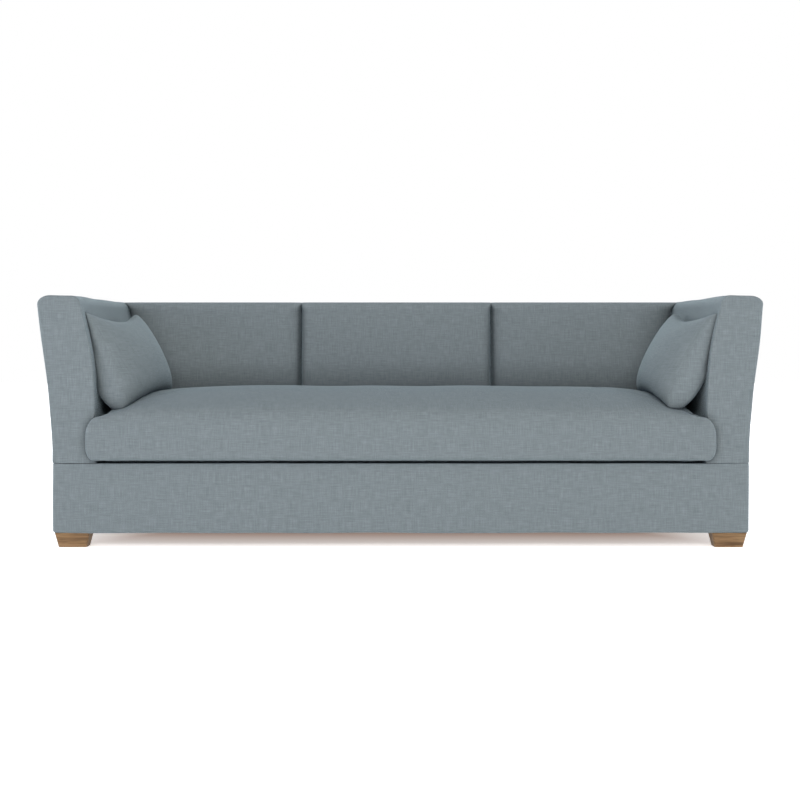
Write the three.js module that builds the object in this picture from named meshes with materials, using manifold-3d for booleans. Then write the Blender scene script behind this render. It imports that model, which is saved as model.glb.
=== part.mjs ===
// A three-seat shelter sofa: flared padded arms as high as the tight back, one loose bench
// cushion, two loose throw pillows, a plain upholstered base and tapered wooden feet.
// Millimetres. +Z is up, the front faces -Y, +X is to the right seen from the front.
// The origin lies on the floor under the middle of the sofa.
import * as THREE from 'three';
import { mergeVertices } from 'three/addons/utils/BufferGeometryUtils.js';
import Module from 'manifold-3d';

const wasm = await Module();
wasm.setup();

// Overall sizes
const baseWidth = 2195;
const overallDepth = 940;
const overallHeight = 795;
const baseBottom = 47;
const seamHeight = 267;

// Outward lean of the arms and of the outside back, above the plain base
const armFlare = 46;
const backFlare = 46;
const flareRise = 83;
const flareBlend = 42;

// Arms
const armWidth = 140.5;
const armInnerLean = 47;
const armPadDrop = 53;
const armPadCrown = 16;
const armPadCrownPower = 1.5;
const armOuterCornerWidth = 40;
const armOuterCornerDrop = 27;
const armInnerCornerWidth = 30;
const armFrontRoll = 8;
const armInnerRoll = 8;
const armOuterRoll = 12;
const armTopRoll = 18;
const coverWall = 12;
const armInnerWall = 24;
const topWall = 25;

// Back
const leftSeam = -370;
const rightSeam = 335;
const backThickness = 259;
const backRake = 38;
const backBelly = 14;
const backPad = 95;
const padTopRoll = 36;
const seamSink = 34;
const seamRoll = 85;
const seamRollShares = [0, 0.1, 0.3, 0.65, 1];
const armSideSink = 20;
const topSink = 7;

// Seat cushion
const cushionProud = 22;
const cushionSideGap = 4;
const cushionBackGap = 3;
const cushionLobe = 36;
const lobeBlend = 90;
const lobeBlendStart = 70;
const lobeBottomRise = 50;
const lobeBottomReach = 25;
const lobeBottomInset = 8;
const lobeBottomTip = 3;
const lobeRimStart = 88;
const lobeRimRise = 60;
const lobeRimReach = 44;
const lobeRimInset = 17;
const lobeTipLeast = 0.5;
const lobeFade = 2.2;
const lobeFadeStart = 30;
const lobeFadeEnd = 60;
const cushionRearCorner = 35;
const cushionBottomRoll = 22;
const cushionBottomShares = [[1, 0], [0.3, 0.3], [0, 1]];
const cushionRimRoll = 40;
const cushionRimRise = 38;
const cushionRimStart = 103;
const cushionRimShares = [0.08, 0.3, 0.62, 1];
const cushionTopShares = [0.15, 0.38, 0.67, 0.93];
const cushionCrown = 91;
const cushionWall = 4;
const zipLength = 1500;
const zipHeight = 7;

// Throw pillows: distances from the arm at foot and top, and the turn from straight back
const pillowForward = 60;
const leftPillowInset = 50;
const leftPillowTurnDegrees = 14.1;
const leftPillowTopInset = 10;
const rightPillowInset = 77;
const rightPillowTurnDegrees = 6.3;
const rightPillowTopInset = 11;
const pillowWidth = 430;
const pillowHeight = 345;
const pillowLoft = 128;
const pillowHem = 9;
const pillowSideWaist = 10;
const pillowTopWaist = 42;
const pillowWall = 5;
const pillowFullPower = 0.62;
const pillowEdgeDegrees = 82.8;
const armSquash = 6;
const seatSquash = 4;
const pillowSink = 3;
const insertSlack = 3;
const insertSettle = 2.6;
const pillowSlotLength = 200;
const pillowSlotHeight = 4;

// Frame timber, steel and webbing
const railThickness = 25;
const boardThickness = 22;
const crossRailWidth = 60;
const crossRailDrop = 60;
const seatRailSetback = 20;
const blockLeg = 80;
const blockHeight = 60;
const armRailWidth = 70;
const lowerRailHeight = 60;
const lowerRailRise = 23;
const webbingThickness = 2;
const webbingStrap = 55;
const webbingSideInset = 10;
const webbingFootRise = 20;
const deckThickness = 24;
const deckEndInset = 3;
const dustThickness = 1.4;

// Seat springs
const springWire = 4;
const springWidth = 48;
const springCrown = 14;
const springPocketDepth = 3;
const springEndInset = 60;

// Feet
const footWidth = 110;
const footDepth = 66;
const footTaper = 10.5;
const footCorner = 4;
const footInset = 6;

// Fits
const gap = 0.3;
const fillingGap = 2;
const overrun = 30;

// Counts
const springCount = 11;
const springBars = 18;
const webbingColumns = 7;
const webbingRows = 3;
const deckSteps = 12;
const cushionSideSteps = 5;
const padSteps = 6;
const hollowSteps = 8;
const wireSides = 4;
const pillowSteps = 12;

// Places that follow from the sizes
const baseHalf = baseWidth / 2;
const armFootGap = baseWidth - 2 * armWidth;
const flareStart = seamHeight + flareRise;
const frontY = -overallDepth / 2 + cushionProud;
const rearY = overallDepth / 2 - backFlare;
const backFaceY = rearY - backThickness;
const armPadTop = overallHeight - armPadDrop;
const coverInside = baseHalf - coverWall;
const frameHalf = coverInside - gap;
const railInside = frameHalf - railThickness;
const frameFrontY = frontY + coverWall + gap;
const frameRearY = rearY - coverWall - gap;
const postRearY = frameFrontY + railThickness;
const backRailFrontY = frameRearY - railThickness;
const seatRailY = backFaceY + seatRailSetback;
const seatRailRearY = seatRailY + railThickness;
const frameBottom = baseBottom + gap + dustThickness + gap;
const deckUnderside = seamHeight - deckThickness;
const springTop = deckUnderside - gap;
const railTop = springTop - springWire - gap + springPocketDepth;
const postInner = armFootGap / 2 + armInnerWall + gap;
const capBottom = overallHeight - topWall;
const topRailBottom = capBottom - gap - boardThickness;
const flareSlope = armFlare / (overallHeight - armOuterCornerDrop - flareStart);
const backSlope = backFlare / (overallHeight - coverWall - flareStart);
const endPostInner = railInside - gap - railThickness;
const farX = baseHalf + armFlare + overrun;
const farY = overallDepth / 2 + overrun;

// Heights at which the leaning faces bend, and those of the padded inner faces
const leanHeights = [
  seamHeight,
  flareStart - flareBlend,
  flareStart - flareBlend / 2,
  flareStart,
  flareStart + flareBlend / 2,
  flareStart + flareBlend,
];
const padHeights = steps(padSteps).map((share) => (
  THREE.MathUtils.lerp(seamHeight + gap, overallHeight - padTopRoll, share)));

// Lean added at a height: nothing low down, a soft blend, then a straight slope
function leanAt(z, slope) {
  const rise = z - (flareStart - flareBlend);
  if (rise <= 0) return 0;
  if (rise < 2 * flareBlend) return slope * rise * rise / (4 * flareBlend);
  return slope * (z - flareStart);
}

function outerX(z) {
  return baseHalf + leanAt(z, flareSlope);
}

function backY(z) {
  return rearY + leanAt(z, backSlope);
}

// Inner face of the arm: a straight lean outward with a crown of padding below the top
function innerX(z) {
  const share = Math.max(0, (z - seamHeight) / (armPadTop - seamHeight));
  return armFootGap / 2 + armInnerLean * share
    - armPadCrown * Math.sin(Math.PI * share ** armPadCrownPower);
}

// Front face of the back where its padding is fullest
function backFullY(z) {
  const share = (z - seamHeight) / (overallHeight - seamHeight);
  return backFaceY + backRake * share + backBelly * (1 - Math.sin(Math.PI * share)) - backBelly;
}

function padRearY(z) {
  return backFaceY + backPad + backRake * (z - seamHeight) / (overallHeight - seamHeight);
}

// How far a rounded edge has risen, from 0 at the edge to 1 at its full roll
function rollShare(distance, roll) {
  const left = 1 - Math.min(Math.max(distance, 0), roll) / roll;
  return Math.sqrt(1 - left * left);
}

function steps(count) {
  return Array.from({ length: count + 1 }, (_, index) => index / count);
}

// Closed mesh from rings of equal length; flat axis names the axis the caps face
function loft(rings, flatAxis) {
  const size = rings[0].length;
  const positions = rings.flat().flatMap((point) => [point.x, point.y, point.z]);
  const indices = [];
  for (let ring = 0; ring + 1 < rings.length; ring += 1) {
    for (let step = 0; step < size; step += 1) {
      const a = ring * size + step;
      const b = ring * size + (step + 1) % size;
      indices.push(a, b, b + size, a, b + size, a + size);
    }
  }
  const flat = (point) => {
    if (flatAxis === 'x') return new THREE.Vector2(point.y, point.z);
    if (flatAxis === 'y') return new THREE.Vector2(point.z, point.x);
    return new THREE.Vector2(point.x, point.y);
  };
  const addCap = (ring, start, along) => {
    const outline = ring.map(flat);
    const triangles = THREE.ShapeUtils.triangulateShape(outline, []);
    const areas = triangles.map((triangle) => (
      THREE.ShapeUtils.area(triangle.map((corner) => outline[corner]))));
    const area = areas.reduce((sum, each) => sum + each, 0);
    const sameTurn = (area < 0) === THREE.ShapeUtils.isClockWise(outline);
    triangles.forEach((triangle) => {
      const [a, b, c] = triangle.map((corner) => corner + start);
      indices.push(...(sameTurn === along ? [a, b, c] : [a, c, b]));
    });
  };
  addCap(rings[0], 0, false);
  addCap(rings[rings.length - 1], (rings.length - 1) * size, true);
  return facingOut(positions, indices);
}

// Indexed geometry whose faces point out, whichever way its rings ran
function facingOut(positions, indices) {
  let volume = 0;
  const corner = (index) => new THREE.Vector3().fromArray(positions, index * 3);
  for (let start = 0; start < indices.length; start += 3) {
    const [a, b, c] = [0, 1, 2].map((offset) => corner(indices[start + offset]));
    volume += a.dot(b.cross(c));
  }
  if (volume < 0) indices.reverse();
  const geometry = new THREE.BufferGeometry();
  geometry.setAttribute('position', new THREE.Float32BufferAttribute(positions, 3));
  geometry.setIndex(indices);
  return geometry;
}

function solidOf(geometry) {
  const bare = geometry.clone();
  bare.deleteAttribute('normal');
  bare.deleteAttribute('uv');
  const merged = mergeVertices(bare);
  return new wasm.Manifold(new wasm.Mesh({
    numProp: 3,
    vertProperties: new Float32Array(merged.attributes.position.array),
    triVerts: new Uint32Array(merged.index.array),
  }));
}

function geometryOf(solid) {
  const mesh = solid.getMesh();
  const geometry = new THREE.BufferGeometry();
  geometry.setAttribute('position', new THREE.Float32BufferAttribute(mesh.vertProperties, 3));
  geometry.setIndex(Array.from(mesh.triVerts));
  return geometry;
}

function cut(geometry, ...tools) {
  let solid = solidOf(geometry);
  tools.forEach((tool) => {
    solid = solid.subtract(solidOf(tool));
  });
  return geometryOf(solid);
}

// Box between two corners
function boxBetween(low, high) {
  const geometry = new THREE.BoxGeometry(high[0] - low[0], high[1] - low[1], high[2] - low[2]);
  geometry.translate((low[0] + high[0]) / 2, (low[1] + high[1]) / 2, (low[2] + high[2]) / 2);
  return geometry;
}

// Two distances from the middle as low and high X on one side of the sofa
function spanX(side, near, far) {
  return [side * near, side * far].sort((a, b) => a - b);
}

// Outline in plan, pulled up from one height to another
function upright(points, bottom, top) {
  const rings = [bottom, top].map((z) => points.map(([x, y]) => new THREE.Vector3(x, y, z)));
  return loft(rings, 'z');
}

// Outline in the side view, pulled sideways from one X to another
function sideBoard(points, left, right) {
  const rings = [left, right].map((x) => points.map(([y, z]) => new THREE.Vector3(x, y, z)));
  return loft(rings, 'x');
}

const materials = {
  cover: new THREE.MeshStandardMaterial({ color: 0x76858f, roughness: 0.95, metalness: 0 }),
  foot: new THREE.MeshStandardMaterial({ color: 0x8a6239, roughness: 0.6, metalness: 0 }),
  timber: new THREE.MeshStandardMaterial({ color: 0xc9ab7c, roughness: 0.8, metalness: 0 }),
  steel: new THREE.MeshStandardMaterial({ color: 0x6f7275, roughness: 0.4, metalness: 0.9 }),
  webbing: new THREE.MeshStandardMaterial({ color: 0xb7a789, roughness: 0.95, metalness: 0 }),
  dustCloth: new THREE.MeshStandardMaterial({ color: 0x2b2b2d, roughness: 0.95, metalness: 0 }),
  foam: new THREE.MeshStandardMaterial({ color: 0xe6dfc8, roughness: 0.9, metalness: 0 }),
  zip: new THREE.MeshStandardMaterial({ color: 0x5f6b74, roughness: 0.5, metalness: 0.1 }),
};

const sofa = new THREE.Group();

function addPiece(name, geometry, material, parent = sofa) {
  const mesh = new THREE.Mesh(geometry, material.clone());
  mesh.name = name;
  parent.add(mesh);
  return mesh;
}

const sides = [
  { name: 'left', side: -1 },
  { name: 'right', side: 1 },
];

// Steps of the rounded edge of the outside back, and its least thickness
const edgeShares = [0, 0.3, 1];
const edgeLeastShare = 0.25;

// Rounded top corner of the arm or of the outside back, from its side to its top
const cornerTurns = [0, 1 / 3, 2 / 3, 1].map((share) => share * Math.PI / 2);

// Arm section seen from the front, drawn in by a roll on each side
function armSection(side, y, innerRoll, outerRoll, topRoll) {
  const innerTurnZ = overallHeight - padTopRoll;
  const outerTurnZ = overallHeight - armOuterCornerDrop;
  const points = padHeights.map((z) => [innerX(z) + innerRoll, z]);
  cornerTurns.slice(1).forEach((turn) => {
    const x = innerX(innerTurnZ) + innerRoll + armInnerCornerWidth * (1 - Math.cos(turn));
    points.push([x, innerTurnZ + (padTopRoll - topRoll) * Math.sin(turn)]);
  });
  cornerTurns.slice().reverse().forEach((turn) => {
    const x = outerX(outerTurnZ) - outerRoll - armOuterCornerWidth * (1 - Math.cos(turn));
    points.push([x, outerTurnZ + (armOuterCornerDrop - topRoll) * Math.sin(turn)]);
  });
  leanHeights.slice().reverse().forEach((z) => {
    points.push([outerX(z) - outerRoll, Math.max(z, seamHeight + gap)]);
  });
  return points.map(([x, z]) => new THREE.Vector3(side * x, y, z));
}

// Room inside the arm cover for the frame, as an outline from low to high and back
function armHollow(bottom, top, clearance) {
  const heights = steps(hollowSteps).map((share) => THREE.MathUtils.lerp(seamHeight, top, share));
  const inside = heights.map((z) => [innerX(z) + armInnerWall + clearance, z]);
  const outside = heights.map((z) => [outerX(z) - coverWall - clearance, z]).reverse();
  inside.unshift([inside[0][0], bottom]);
  outside.push([outside[outside.length - 1][0], bottom]);
  return inside.concat(outside);
}

function armSlab(side, outline, front, rear) {
  const rings = [front, rear].map((y) => outline.map(([x, z]) => (
    new THREE.Vector3(side * x, y, z))));
  return loft(rings, 'y');
}

function armCover(side) {
  const rolls = cornerTurns.slice().reverse();
  const rings = rolls.map((turn) => {
    const inward = 1 - Math.cos(turn);
    const y = frontY + armFrontRoll * (1 - Math.sin(turn));
    return armSection(side, y, armInnerRoll * inward, armOuterRoll * inward, armTopRoll * inward);
  });
  rings.push(armSection(side, farY, 0, 0, 0));
  const hollow = armSlab(side, armHollow(seamHeight - overrun, capBottom, 0),
    frontY + coverWall, farY + overrun);
  const [notchLeft, notchRight] = spanX(side, armFootGap / 2 - overrun, railInside);
  const notch = boxBetween(
    [notchLeft, topRailFrontY() - gap, topRailBottom - gap],
    [notchRight, topRailRearY() + gap, capBottom],
  );
  return cut(loft(rings, 'y'), hollow, notch, behindCovers());
}

// Everything behind the front face of the outside back, less the clearance
function behindCovers() {
  const heights = [seamHeight - overrun, ...leanHeights, overallHeight + overrun];
  const face = heights.map((z) => [backY(z) - coverWall - gap, z]);
  const low = heights[0];
  const high = heights[heights.length - 1];
  const points = [...face, [farY + overrun * 2, high], [farY + overrun * 2, low]];
  return sideBoard(points, -farX, farX);
}

function topRailFrontY() {
  return padRearY(capBottom) + gap + webbingThickness + gap;
}

function topRailRearY() {
  return backY(topRailBottom) - coverWall - gap;
}

// Base covers: one band on each side, the front and back ones round the corners
function baseBand(y, direction) {
  const inner = y + direction * coverWall;
  const corner = cornerTurns.map((turn) => [
    baseHalf - coverWall * (1 - Math.sin(turn)),
    inner - direction * coverWall * Math.cos(turn),
  ]);
  const right = [...corner, [coverInside, inner]];
  const left = right.map(([x, bandY]) => [-x, bandY]).reverse();
  return upright([...right, ...left], baseBottom, seamHeight);
}

function addBaseCovers() {
  addPiece('base_front_cover', baseBand(frontY, 1), materials.cover);
  addPiece('base_back_cover', baseBand(rearY, -1), materials.cover);
  sides.forEach(({ name, side }) => {
    const [left, right] = spanX(side, coverInside, baseHalf);
    const low = [left, frontY + coverWall + gap, baseBottom];
    const high = [right, rearY - coverWall - gap, seamHeight];
    addPiece(`base_${name}_cover`, boxBetween(low, high), materials.cover);
  });
}

// Outside back: a thin padded panel that follows the flare of the arms
function outsideBack() {
  const turnZ = overallHeight - armOuterCornerDrop;
  const rows = leanHeights.map((z) => [Math.max(z, seamHeight + gap), outerX(z)]);
  cornerTurns.forEach((turn) => {
    const half = outerX(turnZ) - armOuterCornerWidth * (1 - Math.cos(turn));
    rows.push([turnZ + armOuterCornerDrop * Math.sin(turn), half]);
  });
  const inward = edgeShares.map((share) => share * coverWall);
  const places = inward.map((distance) => ({ side: -1, distance }))
    .concat(inward.slice().reverse().map((distance) => ({ side: 1, distance })));
  const rings = places.map(({ side, distance }) => {
    const front = rows.map(([z, half]) => (
      new THREE.Vector3(side * (half - distance), backY(z) - coverWall, z)));
    const rear = rows.map(([z, half]) => {
      const roll = Math.min(rollShare(distance, coverWall), rollShare(overallHeight - z, coverWall));
      const thick = coverWall * Math.max(roll, edgeLeastShare);
      return new THREE.Vector3(side * (half - distance), backY(z) - coverWall + thick, z);
    });
    return [...front, ...rear.reverse()];
  });
  return loft(rings, 'x');
}

// Back section between two ends; each end is a seam or the padded face of an arm
function backSection(leftEnd, rightEnd) {
  const seamSteps = seamRollShares.map((share) => share * seamRoll);
  const width = (z) => [leftEnd.x(z) + gap, rightEnd.x(z) - gap];
  const places = seamSteps.map((distance) => ({ end: 'left', distance }))
    .concat([{ end: 'middle', distance: 0 }])
    .concat(seamSteps.slice().reverse().map((distance) => ({ end: 'right', distance })));
  const rings = places.map((place) => backRing(place, width, leftEnd, rightEnd));
  return loft(rings, 'x');
}

// Everything beyond the inner face of an arm, less the clearance
function beyondArmFace(side) {
  const face = padHeights.map((z) => [innerX(z) - gap, z]);
  face.unshift([face[0][0], seamHeight - overrun]);
  face.push([face[face.length - 1][0], overallHeight + overrun]);
  const outline = [...face, [farX, overallHeight + overrun], [farX, seamHeight - overrun]];
  return armSlab(side, outline, -farY, farY);
}

function backRing(place, width, leftEnd, rightEnd) {
  const end = place.end === 'right' ? rightEnd : leftEnd;
  const full = place.end === 'middle' ? 1 : rollShare(place.distance, seamRoll);
  const sink = end.sink * (1 - full);
  const drop = topSink * (1 - full);
  const turnZ = overallHeight - padTopRoll;
  const points = [];
  padHeights.forEach((z) => points.push([backFullY(z) + sink, z]));
  cornerTurns.slice(1).forEach((turn) => {
    const y = backFullY(turnZ) + sink + padTopRoll * (1 - Math.cos(turn));
    points.push([y, turnZ + (padTopRoll - drop) * Math.sin(turn)]);
  });
  points.push([backY(overallHeight - drop) - coverWall - gap, overallHeight - drop]);
  points.push([backY(capBottom) - coverWall - gap, capBottom]);
  points.push([padRearY(capBottom), capBottom]);
  padHeights.slice().reverse().forEach((z) => points.push([padRearY(z), z]));
  return points.map(([y, z]) => {
    const [left, right] = width(z);
    if (place.end === 'left') return new THREE.Vector3(left + place.distance, y, z);
    if (place.end === 'right') return new THREE.Vector3(right - place.distance, y, z);
    return new THREE.Vector3((left + right) / 2, y, z);
  });
}

function addBackSections() {
  const seamAt = (x) => ({ x: () => x, sink: seamSink });
  const armAt = (side) => ({ x: (z) => side * (innerX(z) + coverWall / 2), sink: armSideSink });
  const ends = [armAt(-1), seamAt(leftSeam), seamAt(rightSeam), armAt(1)];
  ['left', 'centre', 'right'].forEach((name, index) => {
    const section = backSection(ends[index], ends[index + 1]);
    const geometry = name === 'centre' ? section : cut(section, beyondArmFace(index ? 1 : -1));
    addPiece(`${name}_back_section`, geometry, materials.cover);
  });
}

// Spring height above the rails along its length, 0 at the front end and 1 at the rear
function springArch(share) {
  return springCrown * 4 * share * (1 - share);
}

const springFrontY = frameFrontY + railThickness / 2;
const springRearY = seatRailY + railThickness / 2;
const springEndZ = railTop - springPocketDepth + gap + springWire / 2;

function springShare(y) {
  return THREE.MathUtils.clamp((y - springFrontY) / (springRearY - springFrontY), 0, 1);
}

// Seat deck: flat on top, arched underneath where it lies on the springs
function seatDeck() {
  const half = postInner - deckEndInset;
  const front = frameFrontY;
  const rear = seatRailRearY;
  const underside = steps(deckSteps).map((share) => {
    const y = THREE.MathUtils.lerp(springFrontY, springRearY, share);
    return [y, deckUnderside + springArch(share)];
  });
  const points = [[front, deckUnderside], ...underside, [rear, deckUnderside]];
  points.push([rear, seamHeight], [front, seamHeight]);
  return sideBoard(points, -half, half);
}

// Sinuous spring: bars across the seat joined by bends at alternate sides, one bent wire
function springPoints() {
  const pitch = (springRearY - springFrontY) / (springBars - 1);
  const bendReach = pitch / 2;
  const points = [];
  for (let bar = 0; bar < springBars; bar += 1) {
    const direction = bar % 2 === 0 ? 1 : -1;
    const y = springFrontY + bar * pitch;
    const barHalf = springWidth / 2 - bendReach;
    const along = (x, offset) => {
      const place = y + offset;
      points.push(new THREE.Vector3(x, place, springEndZ + springArch(springShare(place))));
    };
    along(-direction * barHalf, 0);
    along(direction * barHalf, 0);
    if (bar < springBars - 1) {
      along(direction * (barHalf + bendReach * Math.SQRT1_2), bendReach * (1 - Math.SQRT1_2));
      along(direction * (barHalf + bendReach * Math.SQRT1_2), bendReach * (1 + Math.SQRT1_2));
    }
  }
  return points;
}

// Wire mitred at each point of its path
function wireAlong(points, thickness) {
  const half = thickness / 2;
  const up = new THREE.Vector3(0, 0, 1);
  const rings = points.map((point, index) => {
    const before = points[Math.max(index - 1, 0)];
    const after = points[Math.min(index + 1, points.length - 1)];
    const into = point.clone().sub(before).normalize();
    const out = after.clone().sub(point).normalize();
    const along = into.clone().add(out).normalize();
    const across = new THREE.Vector3().crossVectors(up, along).normalize();
    const bend = Math.max(into.length() && out.length() ? along.dot(out) : 1, Math.SQRT1_2);
    return Array.from({ length: wireSides }, (_, corner) => {
      const turn = 2 * Math.PI * corner / wireSides;
      const sideways = across.clone().multiplyScalar(Math.cos(turn) * half / bend);
      return point.clone().add(sideways).addScaledVector(up, Math.sin(turn) * half);
    });
  });
  return loft(rings, 'x');
}

function springCentres() {
  const reach = armFootGap / 2 - springEndInset;
  return steps(springCount - 1).map((share) => THREE.MathUtils.lerp(-reach, reach, share));
}

function addSprings() {
  const geometry = wireAlong(springPoints(), springWire);
  springCentres().forEach((x, index) => {
    const number = String(index + 1).padStart(2, '0');
    addPiece(`seat_spring_${number}`, geometry.clone(), materials.steel).position.x = x;
  });
}

// Rail with a shallow pocket in its top for the end of each spring, open towards the seat
function springRail(low, high, pocketFrontY, pocketRearY) {
  const pockets = springCentres().map((x) => boxBetween(
    [x - springWidth / 2 - gap, pocketFrontY, railTop - springPocketDepth],
    [x + springWidth / 2 + gap, pocketRearY, railTop + overrun],
  ));
  return cut(boxBetween(low, high), ...pockets);
}

function addSeatFrame() {
  const front = springRail(
    [-postInner + gap, frameFrontY, frameBottom],
    [postInner - gap, postRearY, railTop],
    springFrontY - springWire / 2 - gap,
    postRearY + overrun,
  );
  addPiece('front_rail', front, materials.timber);
  const seatRail = springRail(
    [-railInside + gap, seatRailY, frameBottom],
    [railInside - gap, seatRailRearY, railTop],
    seatRailY - overrun,
    springRearY + springWire / 2 + gap,
  );
  addPiece('rear_seat_rail', seatRail, materials.timber);
  const backRail = boxBetween(
    [-frameHalf, backRailFrontY, frameBottom],
    [frameHalf, frameRearY, railTop],
  );
  addPiece('back_rail', backRail, materials.timber);
  const crossRail = boxBetween(
    [-crossRailWidth / 2, postRearY + gap, frameBottom],
    [crossRailWidth / 2, seatRailY - gap, railTop - crossRailDrop],
  );
  addPiece('centre_cross_rail', crossRail, materials.timber);
  sides.forEach(({ name, side }) => {
    const [left, right] = spanX(side, railInside, frameHalf);
    const endRail = boxBetween(
      [left, postRearY + gap, frameBottom],
      [right, backRailFrontY - gap, railTop],
    );
    addPiece(`${name}_end_rail`, endRail, materials.timber);
    addCornerBlocks(name, side);
  });
}

// Glued corner blocks: right-angled, in the corners behind the front posts and the end posts
function addCornerBlocks(name, side) {
  const corners = [
    { place: 'front', x: railInside - gap, y: postRearY + gap, direction: 1 },
    { place: 'rear', x: endPostInner - gap, y: backRailFrontY - gap, direction: -1 },
  ];
  corners.forEach(({ place, x, y, direction }) => {
    const outline = [
      [side * x, y],
      [side * (x - blockLeg), y],
      [side * x, y + direction * blockLeg],
    ];
    const geometry = upright(outline, frameBottom, frameBottom + blockHeight);
    addPiece(`${name}_${place}_corner_block`, geometry, materials.timber);
  });
}

// Side view of the upright boards that carry the back
function backPostOutline() {
  const front = (z) => padRearY(z) + gap + webbingThickness + gap;
  const rear = (z) => backY(z) - coverWall - gap;
  const seat = railTop + gap;
  const top = topRailBottom - gap;
  return [
    [seatRailRearY + gap, frameBottom],
    [backRailFrontY - gap, frameBottom],
    [backRailFrontY - gap, seat],
    [rear(seat), seat],
    ...leanHeights.map((z) => [rear(z), z]),
    [rear(top), top],
    [front(top), top],
    [front(seat), seat],
    [seatRailRearY + gap, seat],
  ];
}

function addBackFrame() {
  const outline = backPostOutline();
  sides.forEach(({ name, side }) => {
    const post = sideBoard(outline, ...spanX(side, endPostInner, railInside - gap));
    addPiece(`${name}_end_post`, post, materials.timber);
    const seam = side < 0 ? leftSeam : rightSeam;
    const board = sideBoard(outline, seam - railThickness / 2, seam + railThickness / 2);
    addPiece(`${name}_back_upright`, board, materials.timber);
  });
  const topRail = boxBetween(
    [-(railInside - gap), topRailFrontY(), topRailBottom],
    [railInside - gap, topRailRearY(), topRailBottom + boardThickness],
  );
  addPiece('back_top_rail', topRail, materials.timber);
}

// Rail along an arm, from its inner edge outward
function armRail(side, near, width, rearEnd, bottom, height) {
  const [left, right] = spanX(side, near, near + width);
  return boxBetween([left, postRearY + gap, bottom], [right, rearEnd, bottom + height]);
}

function addArmFrame() {
  const outline = armHollow(frameBottom, capBottom - gap, gap);
  const innerEdge = Math.max(innerX(topRailBottom), innerX(capBottom)) + armInnerWall + gap;
  const postMiddle = (endPostInner + railInside - gap) / 2;
  const lowZ = seamHeight + lowerRailRise;
  const lowRear = padRearY(lowZ) + gap + webbingThickness;
  sides.forEach(({ name, side }) => {
    const post = armSlab(side, outline, frameFrontY, postRearY);
    addPiece(`${name}_arm_front_post`, post, materials.timber);
    const topRail = armRail(
      side, innerEdge, armRailWidth, topRailFrontY() - gap, topRailBottom, boardThickness);
    addPiece(`${name}_arm_top_rail`, topRail, materials.timber);
    const lowerRail = armRail(
      side, postMiddle - boardThickness / 2, boardThickness, lowRear, lowZ, lowerRailHeight);
    addPiece(`${name}_arm_lower_rail`, lowerRail, materials.timber);
  });
}

// Elastic webbing of the back, woven into one net behind the three padded sections
function backWebbing() {
  const half = armFootGap / 2 - webbingSideInset;
  const low = seamHeight + webbingFootRise;
  const high = capBottom - gap;
  const columnStep = (2 * half - webbingStrap) / webbingColumns;
  const rowStep = (high - low - webbingStrap) / webbingRows;
  const openings = [];
  for (let column = 0; column < webbingColumns; column += 1) {
    for (let row = 0; row < webbingRows; row += 1) {
      const left = -half + webbingStrap + column * columnStep;
      const bottom = low + webbingStrap + row * rowStep;
      openings.push(boxBetween(
        [left, -overrun, bottom],
        [left + columnStep - webbingStrap, overrun, bottom + rowStep - webbingStrap],
      ));
    }
  }
  const net = cut(boxBetween([-half, 0, low], [half, webbingThickness, high]), ...openings);
  const points = net.attributes.position;
  for (let index = 0; index < points.count; index += 1) {
    points.setY(index, points.getY(index) + padRearY(points.getZ(index)) + gap);
  }
  return net;
}

// Foot: a block that tapers towards the floor, with softened corners
function footBlock() {
  const corners = [[1, 1], [-1, 1], [-1, -1], [1, -1]];
  const ringAt = (z, inset) => corners.flatMap(([signX, signY], index) => (
    [0, 1].map((part) => {
      const turn = (index + part) * Math.PI / 2;
      const centreX = signX * (footWidth / 2 - footCorner - inset);
      const centreY = signY * (footDepth / 2 - footCorner - inset);
      return new THREE.Vector3(
        centreX + footCorner * Math.cos(turn),
        centreY + footCorner * Math.sin(turn),
        z,
      );
    })));
  return loft([ringAt(0, footTaper), ringAt(baseBottom, 0)], 'z');
}

function addFeet() {
  const reachX = baseHalf - footInset - footWidth / 2;
  const frontFootY = frontY + footInset + footDepth / 2;
  const rearFootY = rearY - footInset - footDepth / 2;
  sides.forEach(({ name, side }) => {
    const front = addPiece(`${name}_front_foot`, footBlock(), materials.foot);
    front.position.set(side * reachX, frontFootY, 0);
    const rear = addPiece(`${name}_rear_foot`, footBlock(), materials.foot);
    rear.position.set(side * reachX, rearFootY, 0);
  });
  const centre = addPiece('centre_support_foot', footBlock(), materials.foot);
  centre.position.set(0, (postRearY + seatRailY) / 2, 0);
}

// Seat cushion
const cushionHalf = armFootGap / 2 - cushionSideGap;
const cushionFrontY = -overallDepth / 2;
const cushionRearY = backFaceY - cushionBackGap;
const cushionBottom = seamHeight + gap;
const cushionMiddleY = (cushionFrontY + cushionRearY) / 2;
const cushionDepth = cushionRearY - cushionFrontY;
const frontEdgeShares = [0, 0.35, 0.7, 0.92, 0.97];
const rearEdgeShares = [0.75, 0.4, 0];
const lobeTurns = [-1, -0.5, 0, 0.5].map((share) => share * Math.PI / 2);
const lobeDepth = cushionProud - cushionSideGap;
const crownEndPower = 8;
const crownEndShare = 0.6;
const crownSideShare = 0.7;

function cushionCrownAt(x, y) {
  const shareX = Math.min(Math.abs(x) / cushionHalf, 1);
  const shareY = Math.min(Math.abs(y - cushionMiddleY) / (cushionDepth / 2), 1);
  const ends = (1 - shareX ** crownEndPower) ** crownEndShare;
  const sidesFull = (1 - shareY * shareY) ** crownSideShare;
  return cushionCrown * ends * sidesFull;
}

function cushionTopAt(x, y) {
  const inward = Math.min(
    cushionHalf - Math.abs(x),
    y - cushionFrontY,
    cushionRearY - y,
  );
  return seamHeight + cushionRimStart + cushionRimRise * rollShare(inward, cushionRimRoll)
    + cushionCrownAt(x, y);
}

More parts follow.
